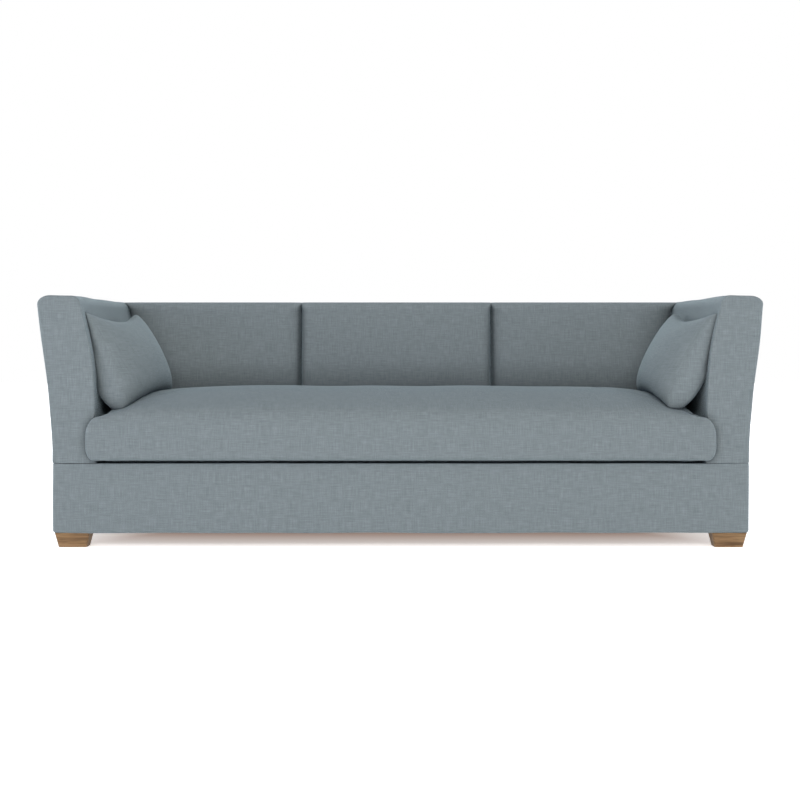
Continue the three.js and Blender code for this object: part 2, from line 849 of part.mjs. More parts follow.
// How far a place along the front of the cushion has gone over into the lobe at that end
function lobeShare(x) {
  return THREE.MathUtils.smoothstep(Math.abs(x) - (cushionHalf - lobeBlendStart), 0, lobeBlend);
}

// Plan of one level of the cushion; a lobe with its own reach, front and tip wraps round each arm
function cushionPlan(inset, lobe) {
  const leftShare = 1 - inset / (cushionDepth / 2);
  const front = cushionFrontY + inset;
  const lobeFront = cushionFrontY + lobe.inset;
  const rear = cushionRearY - inset;
  const side = cushionHalf - inset;
  const reach = Math.max(cushionHalf + lobe.reach, side + lobeTipLeast);
  const half = frontEdgeShares.map((share) => (
    [share * side, THREE.MathUtils.lerp(front, lobeFront, lobeShare(share * side))]));
  lobeTurns.forEach((turn) => {
    half.push([reach - lobe.tip * (1 - Math.cos(turn)), lobeFront + lobe.tip * (1 + Math.sin(turn))]);
  });
  const neck = (armFrontRoll + inset) * leftShare;
  const neckY = lobeFront + 2 * lobe.tip;
  cornerTurns.slice().reverse().forEach((turn) => {
    const x = side + (reach - side - lobe.tip) * (1 - Math.cos(turn));
    half.push([x, neckY + neck * (1 - Math.sin(turn))]);
  });
  const corner = cushionRearCorner * leftShare;
  steps(cushionSideSteps).slice(1).forEach((share) => {
    half.push([side, THREE.MathUtils.lerp(neckY + neck, rear - corner, share)]);
  });
  cornerTurns.slice(1).forEach((turn) => {
    half.push([side - corner * (1 - Math.cos(turn)), rear - corner * (1 - Math.sin(turn))]);
  });
  rearEdgeShares.forEach((share) => half.push([share * side, rear]));
  const mirrored = half.slice(1, -1).map(([x, y]) => [-x, y]).reverse();
  return [...half, ...mirrored];
}

// Lobe of a level without one: the end of the cushion runs straight into its side
function plainLobe(inset) {
  return { inset, reach: -inset, tip: lobeTipLeast };
}

// Lobe low down, drawn in by a share of its roll, 0 at its widest
function lowLobe(share, bottomZ) {
  return {
    inset: lobeBottomInset * share,
    reach: cushionLobe - lobeBottomReach * share,
    tip: lobeDepth / 2 - lobeBottomTip * share,
    height: bottomZ + lobeBottomRise * (1 - rollShare(share, 1)),
  };
}

// Lobe at its top, rolled in by a share of its roll and drawn in deeper beyond it
function highLobe(share, deeper) {
  return {
    inset: Math.min(lobeRimInset * share + lobeFade * deeper, cushionRimRoll * share + deeper),
    reach: cushionLobe - lobeRimReach * share - lobeFade * deeper,
    tip: THREE.MathUtils.lerp(lobeDepth / 2, lobeTipLeast, share),
    height: seamHeight + lobeRimStart + lobeRimRise * rollShare(share, 1),
  };
}

// Levels of the cushion from its underside to its crown
function cushionLevels(bottomZ, rimZ) {
  const levels = cushionBottomShares.map(([share, riseShare]) => ({
    inset: cushionBottomRoll * share,
    height: () => bottomZ + cushionBottomRoll * riseShare,
    lobe: lowLobe(share, bottomZ),
  }));
  [0, ...cushionRimShares].forEach((share) => {
    const rise = cushionRimRise * rollShare(share, 1);
    const height = (x, y) => rimZ + rise + (share ? cushionCrownAt(x, y) : 0);
    levels.push({ inset: cushionRimRoll * share, height, lobe: highLobe(share, 0) });
  });
  cushionTopShares.forEach((share) => {
    const deeper = share * (cushionDepth / 2 - cushionRimRoll);
    const height = (x, y) => rimZ + cushionRimRise + cushionCrownAt(x, y);
    levels.push({ inset: cushionRimRoll + deeper, height, lobe: highLobe(1, deeper) });
  });
  return levels;
}

// Cushion skin, with its lobes in front of the arms
function cushionSkin() {
  const levels = cushionLevels(cushionBottom, seamHeight + cushionRimStart);
  const rings = levels.map(({ inset, height, lobe }) => (
    cushionPlan(inset, lobe).map(([x, y]) => {
      const z = THREE.MathUtils.lerp(height(x, y), lobe.height, lobeShareAt(x, y));
      return new THREE.Vector3(x, y, z);
    })));
  return loft(rings, 'z');
}

// Share of a lobe at a place in the plan; behind the front it fades out
function lobeShareAt(x, y) {
  const back = THREE.MathUtils.smoothstep(y - cushionFrontY, lobeFadeStart, lobeFadeEnd);
  return lobeShare(x) * (1 - back);
}

// Body inside the cushion, its sides drawn in by a wall, its underside lifted, its top lowered
function cushionBody(wall, lift, drop) {
  const levels = cushionLevels(cushionBottom + lift, seamHeight + cushionRimStart - drop);
  const rings = levels.map(({ inset, height }) => (
    cushionPlan(inset + wall, plainLobe(inset + wall))
      .map(([x, y]) => new THREE.Vector3(x, y, height(x, y)))));
  return loft(rings, 'z');
}

function addSeatCushion() {
  const zipZ = seamHeight + cushionRimStart / 2;
  const slot = boxBetween(
    [-zipLength / 2, cushionRearY - cushionWall * 2, zipZ - zipHeight / 2],
    [zipLength / 2, cushionRearY + overrun, zipZ + zipHeight / 2],
  );
  const room = cushionBody(cushionWall, cushionWall, cushionWall);
  const cover = cut(cushionSkin(), room, slot);
  addPiece('seat_cushion_cover', cover, materials.cover);
  const core = cushionBody(
    cushionWall + fillingGap,
    cushionWall + gap,
    cushionWall + fillingGap * 2,
  );
  addPiece('seat_cushion_core', core, materials.foam);
  const zip = boxBetween(
    [-zipLength / 2 + gap, cushionRearY - cushionWall, zipZ - zipHeight / 2 + gap],
    [zipLength / 2 - gap, cushionRearY, zipZ + zipHeight / 2 - gap],
  );
  addPiece('seat_cushion_zip', zip, materials.zip);
}

const pillowStands = [
  {
    name: 'left',
    side: -1,
    inset: leftPillowInset,
    turn: leftPillowTurnDegrees,
    topInset: leftPillowTopInset,
  },
  {
    name: 'right',
    side: 1,
    inset: rightPillowInset,
    turn: rightPillowTurnDegrees,
    topInset: rightPillowTopInset,
  },
];

// Distance left to a surface when a soft piece is squashed against it within a depth
function pressed(distance, squash) {
  if (distance > squash) return distance;
  return gap + (squash - gap) * Math.exp((distance - squash) / (squash - gap));
}

// One point of a pillow's skin; the shares run from -1 to 1 across its width and height
function pillowPoint(acrossShare, upShare, face) {
  const waistAcross = pillowWidth / 2 - pillowSideWaist * (1 - upShare * upShare);
  const topWaist = upShare > 0 ? pillowTopWaist : 0;
  const waistUp = pillowHeight / 2 - topWaist * (1 - acrossShare * acrossShare);
  const fullness = Math.sqrt((1 - acrossShare ** 2) * (1 - upShare ** 2)) ** pillowFullPower;
  const thick = THREE.MathUtils.lerp(pillowHem, pillowLoft, fullness) / 2;
  return { across: acrossShare * waistAcross, up: upShare * waistUp, out: face * thick };
}

// Places a point of a pillow in the sofa: it leans to the arm, its foot follows the seat's crown
function placeOnStand(stand, { across, up, out }) {
  const turn = THREE.MathUtils.degToRad(stand.turn);
  const footX = armFootGap / 2 - stand.inset;
  const middleY = (frontY + backFaceY) / 2 - pillowForward;
  const footY = middleY - Math.cos(turn) * pillowWidth / 2;
  const footZ = cushionTopAt(footX, footY);
  const reach = innerX(footZ + pillowHeight) - stand.topInset - footX;
  const lean = Math.asin(reach / (pillowHeight * Math.cos(turn)));
  const acrossAxis = new THREE.Vector3(-stand.side * Math.sin(turn), Math.cos(turn), 0);
  const outward = new THREE.Vector3(stand.side * Math.cos(turn), Math.sin(turn), 0);
  const upAxis = new THREE.Vector3(0, 0, Math.cos(lean)).addScaledVector(outward, Math.sin(lean));
  const outAxis = outward.clone().multiplyScalar(Math.cos(lean)).setZ(-Math.sin(lean));
  const foot = new THREE.Vector3(stand.side * footX, footY, 0);
  foot.addScaledVector(acrossAxis, across + pillowWidth / 2);
  const lowShare = 0.5 - up / pillowHeight;
  foot.z = THREE.MathUtils.lerp(footZ, cushionTopAt(foot.x, foot.y), lowShare) - pillowSink;
  return foot.addScaledVector(upAxis, up + pillowHeight / 2).addScaledVector(outAxis, out);
}

// Presses a pillow point against the arm and then against the seat cushion
function pressOnStand(stand, point) {
  const armFace = innerX(point.z);
  const x = stand.side * (armFace - pressed(armFace - stand.side * point.x, armSquash));
  const seat = cushionTopAt(x, point.y);
  return new THREE.Vector3(x, point.y, seat + pressed(point.z - seat, seatSquash));
}

// Pillow body, filled to a share of the skin's distance from the middle
function pillowBody(stand, fillShare) {
  const edgeTurn = THREE.MathUtils.degToRad(pillowEdgeDegrees);
  const shares = steps(pillowSteps).map((share) => (
    Math.sin((2 * share - 1) * edgeTurn) / Math.sin(edgeTurn)));
  const middle = placeOnStand(stand, { across: 0, up: 0, out: 0 });
  const positions = [];
  const indices = [];
  const rowSize = pillowSteps + 1;
  const faceSize = rowSize * rowSize;
  const place = (row, column) => row * rowSize + column;
  [-1, 1].forEach((face) => {
    shares.forEach((upShare) => {
      shares.forEach((acrossShare) => {
        const free = placeOnStand(stand, pillowPoint(acrossShare, upShare, face));
        const skin = pressOnStand(stand, free);
        positions.push(...middle.clone().lerp(skin, fillShare).toArray());
      });
    });
  });
  for (let row = 0; row < pillowSteps; row += 1) {
    for (let column = 0; column < pillowSteps; column += 1) {
      const corners = [place(row, column), place(row, column + 1)];
      corners.push(place(row + 1, column + 1), place(row + 1, column));
      const [a, b, c, d] = corners;
      const [e, f, g, h] = corners.map((corner) => corner + faceSize);
      indices.push(a, b, c, a, c, d, e, g, f, e, h, g);
    }
  }
  const rim = pillowRim(pillowSteps, place);
  rim.forEach((start, index) => {
    const next = rim[(index + 1) % rim.length];
    indices.push(start, start + faceSize, next + faceSize, start, next + faceSize, next);
  });
  return facingOut(positions, indices);
}

// Grid places round the edge of a pillow face, in order
function pillowRim(count, place) {
  const rim = [];
  for (let step = 0; step < count; step += 1) rim.push(place(0, step));
  for (let step = 0; step < count; step += 1) rim.push(place(step, count));
  for (let step = count; step > 0; step -= 1) rim.push(place(count, step));
  for (let step = count; step > 0; step -= 1) rim.push(place(step, 0));
  return rim;
}

// Slot in the upper hem where the insert goes in
function pillowSlot(stand) {
  const outline = [[-1, -1], [1, -1], [1, 1], [-1, 1]];
  const rings = [pillowHeight / 4, pillowHeight].map((up) => outline.map(([end, face]) => (
    placeOnStand(stand, {
      across: end * pillowSlotLength / 2,
      up,
      out: face * pillowSlotHeight / 2,
    }))));
  return loft(rings, 'z');
}

function addPillows() {
  const roomShare = 1 - pillowWall / (pillowLoft / 2);
  const insertShare = 1 - (pillowWall + insertSlack) / (pillowLoft / 2);
  pillowStands.forEach((stand) => {
    const cover = cut(pillowBody(stand, 1), pillowBody(stand, roomShare), pillowSlot(stand));
    addPiece(`${stand.name}_pillow_cover`, cover, materials.cover);
    const insert = pillowBody(stand, insertShare);
    insert.translate(-stand.side * insertSettle, 0, 0);
    addPiece(`${stand.name}_pillow_insert`, insert, materials.foam);
  });
}

addBaseCovers();
sides.forEach(({ name, side }) => addPiece(`${name}_arm_cover`, armCover(side), materials.cover));
addPiece('outside_back_cover', outsideBack(), materials.cover);
addBackSections();
addPiece('seat_deck', seatDeck(), materials.webbing);
addPiece('dust_cover', boxBetween(
  [-coverInside + gap, frontY + coverWall + gap, baseBottom + gap],
  [coverInside - gap, rearY - coverWall - gap, baseBottom + gap + dustThickness],
), materials.dustCloth);
addSeatFrame();
addBackFrame();
addArmFrame();
addPiece('back_webbing', backWebbing(), materials.webbing);
addSprings();
addFeet();
addSeatCushion();
addPillows();

export default sofa;
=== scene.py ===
# A three-seat shelter sofa dressed in heathered linen weave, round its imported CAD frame.
# Metres. +Z is up, the front faces -Y, +X is to the right seen from the front.
import math

import bmesh
import bpy
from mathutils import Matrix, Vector
from mathutils.noise import noise


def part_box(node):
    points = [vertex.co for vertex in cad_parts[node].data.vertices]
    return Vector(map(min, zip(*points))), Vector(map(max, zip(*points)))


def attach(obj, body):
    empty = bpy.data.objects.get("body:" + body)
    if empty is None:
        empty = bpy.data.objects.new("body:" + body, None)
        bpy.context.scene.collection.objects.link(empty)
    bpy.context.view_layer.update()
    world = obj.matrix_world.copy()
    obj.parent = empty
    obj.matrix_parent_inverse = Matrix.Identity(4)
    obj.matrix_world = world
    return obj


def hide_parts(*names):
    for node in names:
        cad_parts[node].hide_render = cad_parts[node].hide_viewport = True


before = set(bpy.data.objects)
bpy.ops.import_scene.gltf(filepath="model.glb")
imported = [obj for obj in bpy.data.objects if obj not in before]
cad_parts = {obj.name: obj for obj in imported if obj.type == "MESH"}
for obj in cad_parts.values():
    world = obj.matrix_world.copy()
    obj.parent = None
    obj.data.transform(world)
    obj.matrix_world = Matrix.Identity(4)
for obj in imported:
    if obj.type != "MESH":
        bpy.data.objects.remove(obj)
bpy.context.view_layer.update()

# Overall places, read from the frame
base_low, base_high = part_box("base_front_cover")
section_low, section_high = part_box("centre_back_section")
cushion_low, cushion_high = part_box("seat_cushion_cover")
back_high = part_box("outside_back_cover")[1]
BASE_HALF = base_high.x
FRONT_Y = base_low.y
REAR_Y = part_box("base_back_cover")[1].y
BASE_BOTTOM = base_low.z
SEAM_Z = base_high.z
TOP_Z = back_high.z
BACK_FACE_Y = cushion_high.y + 0.003

# Arms, the outside back and the skins of their covers
ARM_FLARE = back_high.x - BASE_HALF
BACK_FLARE = 0.046
FLARE_START = SEAM_Z + 0.083
FLARE_BLEND = 0.042
ARM_WIDTH = 0.1405
ARM_INNER_LEAN = 0.047
ARM_PAD_DROP = 0.053
ARM_PAD_CROWN = 0.016
ARM_PAD_POWER = 1.5
CORNER_WIDTH = 0.04
CORNER_DROP = 0.027
INNER_CORNER_WIDTH = 0.03
ARM_FRONT_ROLL = 0.008
ARM_INNER_ROLL = 0.008
ARM_OUTER_ROLL = 0.012
ARM_TOP_ROLL = 0.018
PAD_TOP_ROLL = 0.036
COVER_WALL = 0.012
ARM_SKIN = 0.01
BAND_SKIN = 0.006
BACK_SKIN = 0.004
GAP = 0.0003

# Rows of the covers: close together beside the base seam, at the hem and on the arm's front
SEAM_CURL = 0.0026
SEAM_CURL_REACH = 0.0055
SEAM_STEPS = (0, 0.0015, 0.004, 0.008)
SEAM_CLEAR = 0.02
FACE_SHARES = (0.0, 0.18, 0.36, 0.54, 0.7, 0.83, 0.93)
FACE_DISH = 0.002
FACE_SPINE_DROP = 0.07
BAND_DRAW = 0.007
BAND_ROLL = 0.01
BAND_HEM = (0.003, 0.012)
BAND_CLEAR = 0.03
BACK_SEAM_STEPS = (GAP, 0.0015, 0.005, 0.010)
BACK_SEAM_CLEAR = 0.03
BACK_EDGE_INSETS = (0.0, 0.001, 0.003, 0.006, 0.009, COVER_WALL)
BACK_EDGE_WALL = 0.05

# Places that follow from these sizes
ARM_FOOT_HALF = BASE_HALF - ARM_WIDTH
ARM_PAD_TOP = TOP_Z - ARM_PAD_DROP
ARM_SLOPE = ARM_FLARE / (TOP_Z - CORNER_DROP - FLARE_START)
BACK_SLOPE = BACK_FLARE / (TOP_Z - COVER_WALL - FLARE_START)

# Padded back sections: rake and belly, the crease above the cushion, the seams and their slots
CUSHION_BACK_TOP = SEAM_Z + 0.141
SEAMS = (section_low.x - GAP, section_high.x + GAP)
SEAM_SNUG = 0.8 * GAP
BACK_RAKE = 0.038
BACK_BELLY = 0.014
CREASE_Z = CUSHION_BACK_TOP - 0.01
CREASE_ROLL = 0.1
CREASE_TUCK = 0.02
SEAM_SINK = 0.034
SEAM_ROLL = 0.085
CENTRE_SEAM_ROLL = 0.04
ARM_SIDE_SINK = 0.03
ARM_SIDE_ROLL = 0.079
ARM_SIDE_HIDDEN = 0.004
ARM_SIDE_GAP = 0.0006
PAD_ROLL_SHARES = (0.0, 0.012, 0.04, 0.09, 0.17, 0.28, 0.42, 0.58, 0.78, 1.0)
PAD_TOP_SHARES = (0.2, 0.4, 0.6, 0.8, 1.0)
PAD_DEPTH = 0.095
PAD_LIP = PAD_TOP_ROLL * 1.5
PAD_LIP_STEP = 0.02
PAD_SOFT_DEPTH = 0.05
TOP_SINK = 0.0006
SEAM_FADE = 0.042
SLOT_ROLL = 0.0115
SLOT_SINK = 0.04
SLOT_DROP = 0.0006

# Seat cushion
CUSHION_HALF = ARM_FOOT_HALF - 0.004
CUSHION_BOTTOM = cushion_low.z
CUSHION_FRONT = cushion_low.y
CUSHION_REAR = cushion_high.y
CUSHION_CORNER = 0.035
CUSHION_UNDER_INSETS = (0.24, 0.16, 0.09, 0.06)
CUSHION_HEEL_INSET = 0.038
CUSHION_HEEL_RISE = 0.008
CUSHION_WALL_START = 0.009
CUSHION_UNDER_ROLL = 0.014
CUSHION_TOP_SHARES = (0.03, 0.07, 0.12, 0.18, 0.25, 0.33, 0.41, 0.5, 0.59, 0.68, 0.77, 0.86, 0.93,
                      0.975)
CUSHION_RIM_START = 0.103
CUSHION_RIM_RISE = 0.038
CUSHION_RIM_ROLL = 0.04
CUSHION_CROWN = 0.091
CROWN_POWERS = (8, 0.6, 0.7)
CUSHION_FRONT_SPAN = 0.985
CUSHION_REAR_SPAN = 0.95
CUSHION_CALM = 0.05
CUSHION_SOFT_RISE = 0.08

# Lobes of the cushion in front of the arms
LOBE_LEVEL = 0.02
LOBE_START = 0.07
LOBE_BLEND = 0.09
LOBE_DEPTH = 0.06
LOBE_DEPTH_BLEND = 0.03
LOBE_OUT = 0.036
LOBE_TIP = 0.009
LOBE_THIN = 0.0005
LOBE_UNDER_TIPS = (0.0003, 0.003)
LOBE_HEEL = 0.02
LOBE_UNDER_RISE = 0.047
LOBE_UNDER_DRAW = 0.025
LOBE_UNDER_INSET = 0.008
LOBE_UNDER_THIN = 0.003
LOBE_RIM = 0.088
LOBE_RIM_RISE = 0.06
LOBE_RIM_DRAW = 0.044
LOBE_RIM_INSET = 0.017
LOBE_TOP_DRAW = 2.2

# Seat deck, dust cover, webbing and zip
SPRING_CROWN = 0.014
DECK_QUILTS = 14
DECK_QUILT_ROWS = 4
DECK_EDGE_ROLL = 0.01
DECK_EDGE_DROP = 0.004
DECK_STITCH_DIP = 0.003
DUST_SAG = 0.003
DUST_HEM = 0.012
DUST_HEM_STEP = 0.0005
DUST_HEM_BLEND = 0.003
DUST_THICKNESS = 0.0007
STRAP_WIDTH = 0.055
STRAP_THICKNESS = 0.0009
STRAP_MIDDLE = 0.001
STRAP_LIFT = 0.0005
STRAP_SECTION = ((-1, -0.4), (-0.98, -1), (0.98, -1), (1, -0.4),
                 (1, 0.4), (0.98, 1), (-0.98, 1), (-1, 0.4))
WEBBING_COLUMNS = 8
WEBBING_ROWS = 4
ZIP_PROUD = 0.0008
ZIP_END = 0.012
ZIP_SLOT = 0.0006
ZIP_TAPE_THICKNESS = 0.0009
ZIP_TOOTH_PITCH = 0.0026
ZIP_TOOTH_SHIFT = 0.0005
ZIP_TOOTH_HALF = 0.0014
ZIP_TOOTH_RADIUS = 0.0006
ZIP_SLIDER_HALF = 0.006
ZIP_SLIDER_RADIUS = 0.0016
ZIP_SLIDER_PROUD = 0.0002
ROD_TIP = 0.6
ROD_SHOULDER = 0.15

# Uneven padding: height and size of the noise that softens each cover
ARM_PADDING = (0.0035, 0.16)
ARM_SEAM_WRINKLE = (0.0014, 0.035)
ARM_CALM = 0.05
BAND_PADDING = (0.0028, 0.22)
OUTSIDE_PADDING = (0.003, 0.2)
PAD_PADDING = (0.0045, 0.20)
CUSHION_PADDING = (0.004, 0.24)
SEED_STEP = (7.31, 3.17, 5.83)
MERGE_DISTANCE = 1e-6


def lean(z, slope):
    """Lean added at a height: nothing low down, a soft blend, then a straight slope."""
    rise = z - (FLARE_START - FLARE_BLEND)
    if rise <= 0:
        return 0.0
    if rise < 2 * FLARE_BLEND:
        return slope * rise * rise / (4 * FLARE_BLEND)
    return slope * (z - FLARE_START)


def outer_x(z):
    return BASE_HALF + lean(z, ARM_SLOPE)


def back_y(z):
    return REAR_Y + lean(z, BACK_SLOPE)


def inner_x(z):
    """Inner face of an arm: a straight lean outward with a crown of padding."""
    share = max(0.0, (z - SEAM_Z) / (ARM_PAD_TOP - SEAM_Z))
    crown = ARM_PAD_CROWN * math.sin(math.pi * share ** ARM_PAD_POWER)
    return ARM_FOOT_HALF + ARM_INNER_LEAN * share - crown


def back_full_y(z):
    """Front face of the back where its padding is fullest."""
    share = (z - SEAM_Z) / (TOP_Z - SEAM_Z)
    tuck = CREASE_TUCK * (1 - roll_share(z - CREASE_Z, CREASE_ROLL))
    return BACK_FACE_Y + BACK_RAKE * share - BACK_BELLY * math.sin(math.pi * share) + tuck


def roll_share(distance, roll):
    """How far a rounded edge has risen, from 0 at the edge to 1 at its full roll."""
    left = 1 - min(max(distance, 0.0), roll) / roll
    return math.sqrt(1 - left * left)


# Mesh helpers

def add_object(name, data):
    made = bpy.data.objects.new(name, data)
    bpy.context.scene.collection.objects.link(made)
    return made


def link(name, verts, faces):
    mesh = bpy.data.meshes.new(name)
    mesh.from_pydata([tuple(vert) for vert in verts], [], faces)
    return add_object(name, mesh)


def quads(rows, size, span):
    """Faces between rows of points of one size, over a span of steps in each row."""
    faces = []
    for row in range(rows - 1):
        for step in range(span):
            a = row * size + step
            b = row * size + (step + 1) % size
            faces.append((a, b, b + size, a + size))
    return faces


def loft(name, rings):
    """Closed skin over rings of equal length, its faces pointing out."""
    size = len(rings[0])
    verts = [point for ring in rings for point in ring]
    faces = quads(len(rings), size, size)
    last = (len(rings) - 1) * size
    faces.append(tuple(range(size))[::-1])
    faces.append(tuple(range(last, last + size)))
    piece = link(name, verts, faces)
    face_out(piece)
    return piece


def face_out(piece):
    """Merges doubles, turns the faces outward and cuts faces of many corners into triangles."""
    bm = bmesh.new()
    bm.from_mesh(piece.data)
    bmesh.ops.remove_doubles(bm, verts=bm.verts, dist=MERGE_DISTANCE)
    bmesh.ops.recalc_face_normals(bm, faces=bm.faces)
    bmesh.ops.triangulate(bm, faces=[face for face in bm.faces if len(face.verts) > 4])
    bm.to_mesh(piece.data)
    bm.free()


def lay_cloth(piece):
    """Lays the weave on each face by the way it faces, in metres."""
    mesh = piece.data
    layer = mesh.uv_layers.get("weave") or mesh.uv_layers.new(name="weave")
    for face in mesh.polygons:
        n = face.normal
        for loop in face.loop_indices:
            x, y, z = mesh.vertices[mesh.loops[loop].vertex_index].co
            uv = (y, z)
            if abs(n.z) > max(abs(n.x), abs(n.y)):
                uv = (x, y + TOP_Z)
            elif abs(n.y) > abs(n.x):
                uv = (x, z)
            layer.data[loop].uv = uv


def soften(piece, height, size, seed, keep=None):
    """Uneven padding: moves the skin along its normals by smooth noise of a height and size."""
    mesh = piece.data
    shift = Vector([seed * step for step in SEED_STEP])
    moves = []
    for vertex in mesh.vertices:
        share = keep(vertex.co) if keep else 1.0
        moves.append(vertex.normal * noise(vertex.co / size + shift) * height * share)
    for vertex, move in zip(mesh.vertices, moves):
        vertex.co += move


def dress(piece, body, slot_name, material, *nodes):
    """Smooths a finished piece and gives it its body and its material."""
    piece.data.shade_smooth()
    lay_cloth(piece)
    piece.data.materials.clear()
    piece.data.materials.append(material)
    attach(piece, body)
    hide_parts(*nodes)


def shares(count):
    return [step / count for step in range(count + 1)]


def mix(a, b, share):
    return a + (b - a) * share


def spread(start, end, count):
    return [mix(start, end, share) for share in shares(count)]


# Materials

def new_material(name):
    material = bpy.data.materials.new(name)
    material.use_nodes = True
    tree = material.node_tree
    shader = tree.nodes["Principled BSDF"]
    return material, tree, shader


def node(tree, kind, **settings):
    made = tree.nodes.new(kind)
    for key, value in settings.items():
        setattr(made, key, value)
    return made


def feed(socket, value):
    """Gives a socket the output of another node, a number, a vector or a color."""
    if isinstance(value, bpy.types.NodeSocket):
        socket.id_data.links.new(value, socket)
    elif socket.type == "RGBA" and len(value) == 3:
        socket.default_value = (*value, 1.0)
    else:
        socket.default_value = value


def set_inputs(made, **values):
    """Feeds sockets by their names; an underscore in a name stands for a space."""
    for name, value in values.items():
        feed(made.inputs[name.replace("_", " ")], value)


def math_node(tree, operation, *values):
    made = node(tree, "ShaderNodeMath", operation=operation)
    for socket, value in zip(made.inputs, values):
        feed(socket, value)
    return made.outputs[0]


def object_place(tree):
    return node(tree, "ShaderNodeTexCoord").outputs["Object"]


def split_axes(tree, vector):
    made = node(tree, "ShaderNodeSeparateXYZ")
    feed(made.inputs[0], vector)
    return made.outputs


def fade(tree, value, start, end):
    """0 to 1 as a value goes from start to end."""
    made = node(tree, "ShaderNodeMapRange")
    set_inputs(made, From_Min=start, From_Max=end, Value=value)
    return made.outputs[0]


def stretched_noise(tree, vector, scale, detail):
    """Noise with a scale of its own along each axis."""
    mapping = node(tree, "ShaderNodeMapping")
    set_inputs(mapping, Scale=scale, Vector=vector)
    made = node(tree, "ShaderNodeTexNoise")
    set_inputs(made, Scale=1.0, Detail=detail, Vector=mapping.outputs[0])
    return made.outputs["Fac"]


def ramp(tree, factor, stops, colors):
    """Color that changes with a factor, from stop to stop."""
    made = node(tree, "ShaderNodeValToRGB")
    elements = made.color_ramp.elements
    while len(elements) < len(stops):
        elements.new(0.5)
    for element, place, color in zip(elements, stops, colors):
        element.position = place
        element.color = (*color, 1.0)
    set_inputs(made, Fac=factor)
    return made.outputs["Color"]


def blend(tree, factor, first, second, mode="MIX"):
    made = node(tree, "ShaderNodeMix", data_type="RGBA", blend_type=mode)
    sockets = (made.inputs[0], made.inputs[6], made.inputs[7])
    for socket, value in zip(sockets, (factor, first, second)):
        feed(socket, value)
    return made.outputs[2]


def bump(tree, shader, height, strength, distance):
    made = node(tree, "ShaderNodeBump")
    set_inputs(made, Strength=strength, Distance=distance, Height=height)
    set_inputs(shader, Normal=made.outputs[0])


# Dark, middle and pale tones of each material
HEATHER_TONES = ((0.146, 0.173, 0.184), (0.184, 0.215, 0.226), (0.232, 0.266, 0.279))
DECK_TONES = ((0.24, 0.20, 0.14), (0.34, 0.29, 0.20), (0.43, 0.37, 0.27))
JUTE_TONES = ((0.20, 0.15, 0.09), (0.32, 0.25, 0.16), (0.44, 0.36, 0.25))
OAK_TONES = ((0.125, 0.065, 0.024), (0.225, 0.127, 0.053), (0.31, 0.19, 0.09))
HARDWOOD_TONES = ((0.36, 0.25, 0.14), (0.50, 0.37, 0.23), (0.60, 0.47, 0.32))
STEEL_TONES = ((0.16, 0.165, 0.17), (0.36, 0.365, 0.37))
DUST_TONES = ((0.012, 0.012, 0.014), (0.03, 0.03, 0.034))
ZIP_TONES = ((0.10, 0.125, 0.14), (0.16, 0.19, 0.205))
SHEEN_TINT = (0.72, 0.90, 1.0, 1)

# Weave: pitch of the threads, and their uneven yarn as (scale of the noise, detail, share of tone)
WEAVE_PITCH = 0.0016
DECK_PITCH = 0.0012
JUTE_PITCH = 0.0034
YARN_LAYERS = (
    ((22, 430, 1), 3.0, 0.38),
    ((430, 20, 1), 3.0, 0.34),
    ((60, 52, 1), 4.0, 0.16),
    ((430, 430, 1), 1.0, 0.12),
)
YARN_STOPS = (0.36, 0.50, 0.64)
THREAD_RELIEF = 0.5
YARN_RELIEF = 2.2
THREAD_SHADE = (0.05, 0.97)
WEAVE_BUMP = (0.35, 0.0006)

# Painted shade in creases: how dark the cloth's colour is painted where surfaces crowd close, and
# how far that painted shade reaches in each cover
PAINTED_SHADE_DARKEST = 0.06
PAINTED_SHADE_SAMPLES = 8
PAINTED_SHADE_SHORT_REACH = 0.03
PAINTED_SHADE_EXTRA_REACH = 0.1
PAINTED_SHADE_INSIDE_BLEND = 0.05
PAINTED_SHADE_LOW_BLEND = (0.05, 0.19)
PILLOW_PAINTED_SHADE_REACH = 0.08
BASE_PAINTED_SHADE_REACH = 0.012
BACK_PAINTED_SHADE_REACH = 0.15
JUTE_PAINTED_SHADE_REACH = 0.02

# Wood: scales of the noise along and across the grain
GRAIN_SCALES = (6, 95)
PORE_SCALES = (30, 900)
WOOD_STOPS = (0.34, 0.50, 0.66)
PORE_STOPS = (0.36, 0.46, 1.0)
PORE_TONES = ((0.62, 0.58, 0.54), (1, 1, 1), (1, 1, 1))
PORE_BUMP = (0.3, 0.0004)

# Felted cloth and drawn wire
FELT_SCALES = (260, 260, 260)
FELT_STOPS = (0.3, 0.7)
FELT_BUMP = (0.5, 0.001)
STEEL_SCALES = (700, 700, 700)
STEEL_STOPS = (0.35, 0.65)
STEEL_BUMP = (0.2, 0.0002)


def painted_shade_reach_inside(tree):
    """Reach of the painted shade in creases: long low down inside the sofa, short at its rim and
    its front.
    """
    axes = split_axes(tree, object_place(tree))
    inside = fade(tree, axes[1], FRONT_Y, FRONT_Y + PAINTED_SHADE_INSIDE_BLEND)
    low = fade(tree, axes[2], TOP_Z - PAINTED_SHADE_LOW_BLEND[0], TOP_Z - PAINTED_SHADE_LOW_BLEND[1])
    share = math_node(tree, "MULTIPLY", inside, low)
    return math_node(tree, "MULTIPLY_ADD", share, PAINTED_SHADE_EXTRA_REACH, PAINTED_SHADE_SHORT_REACH)


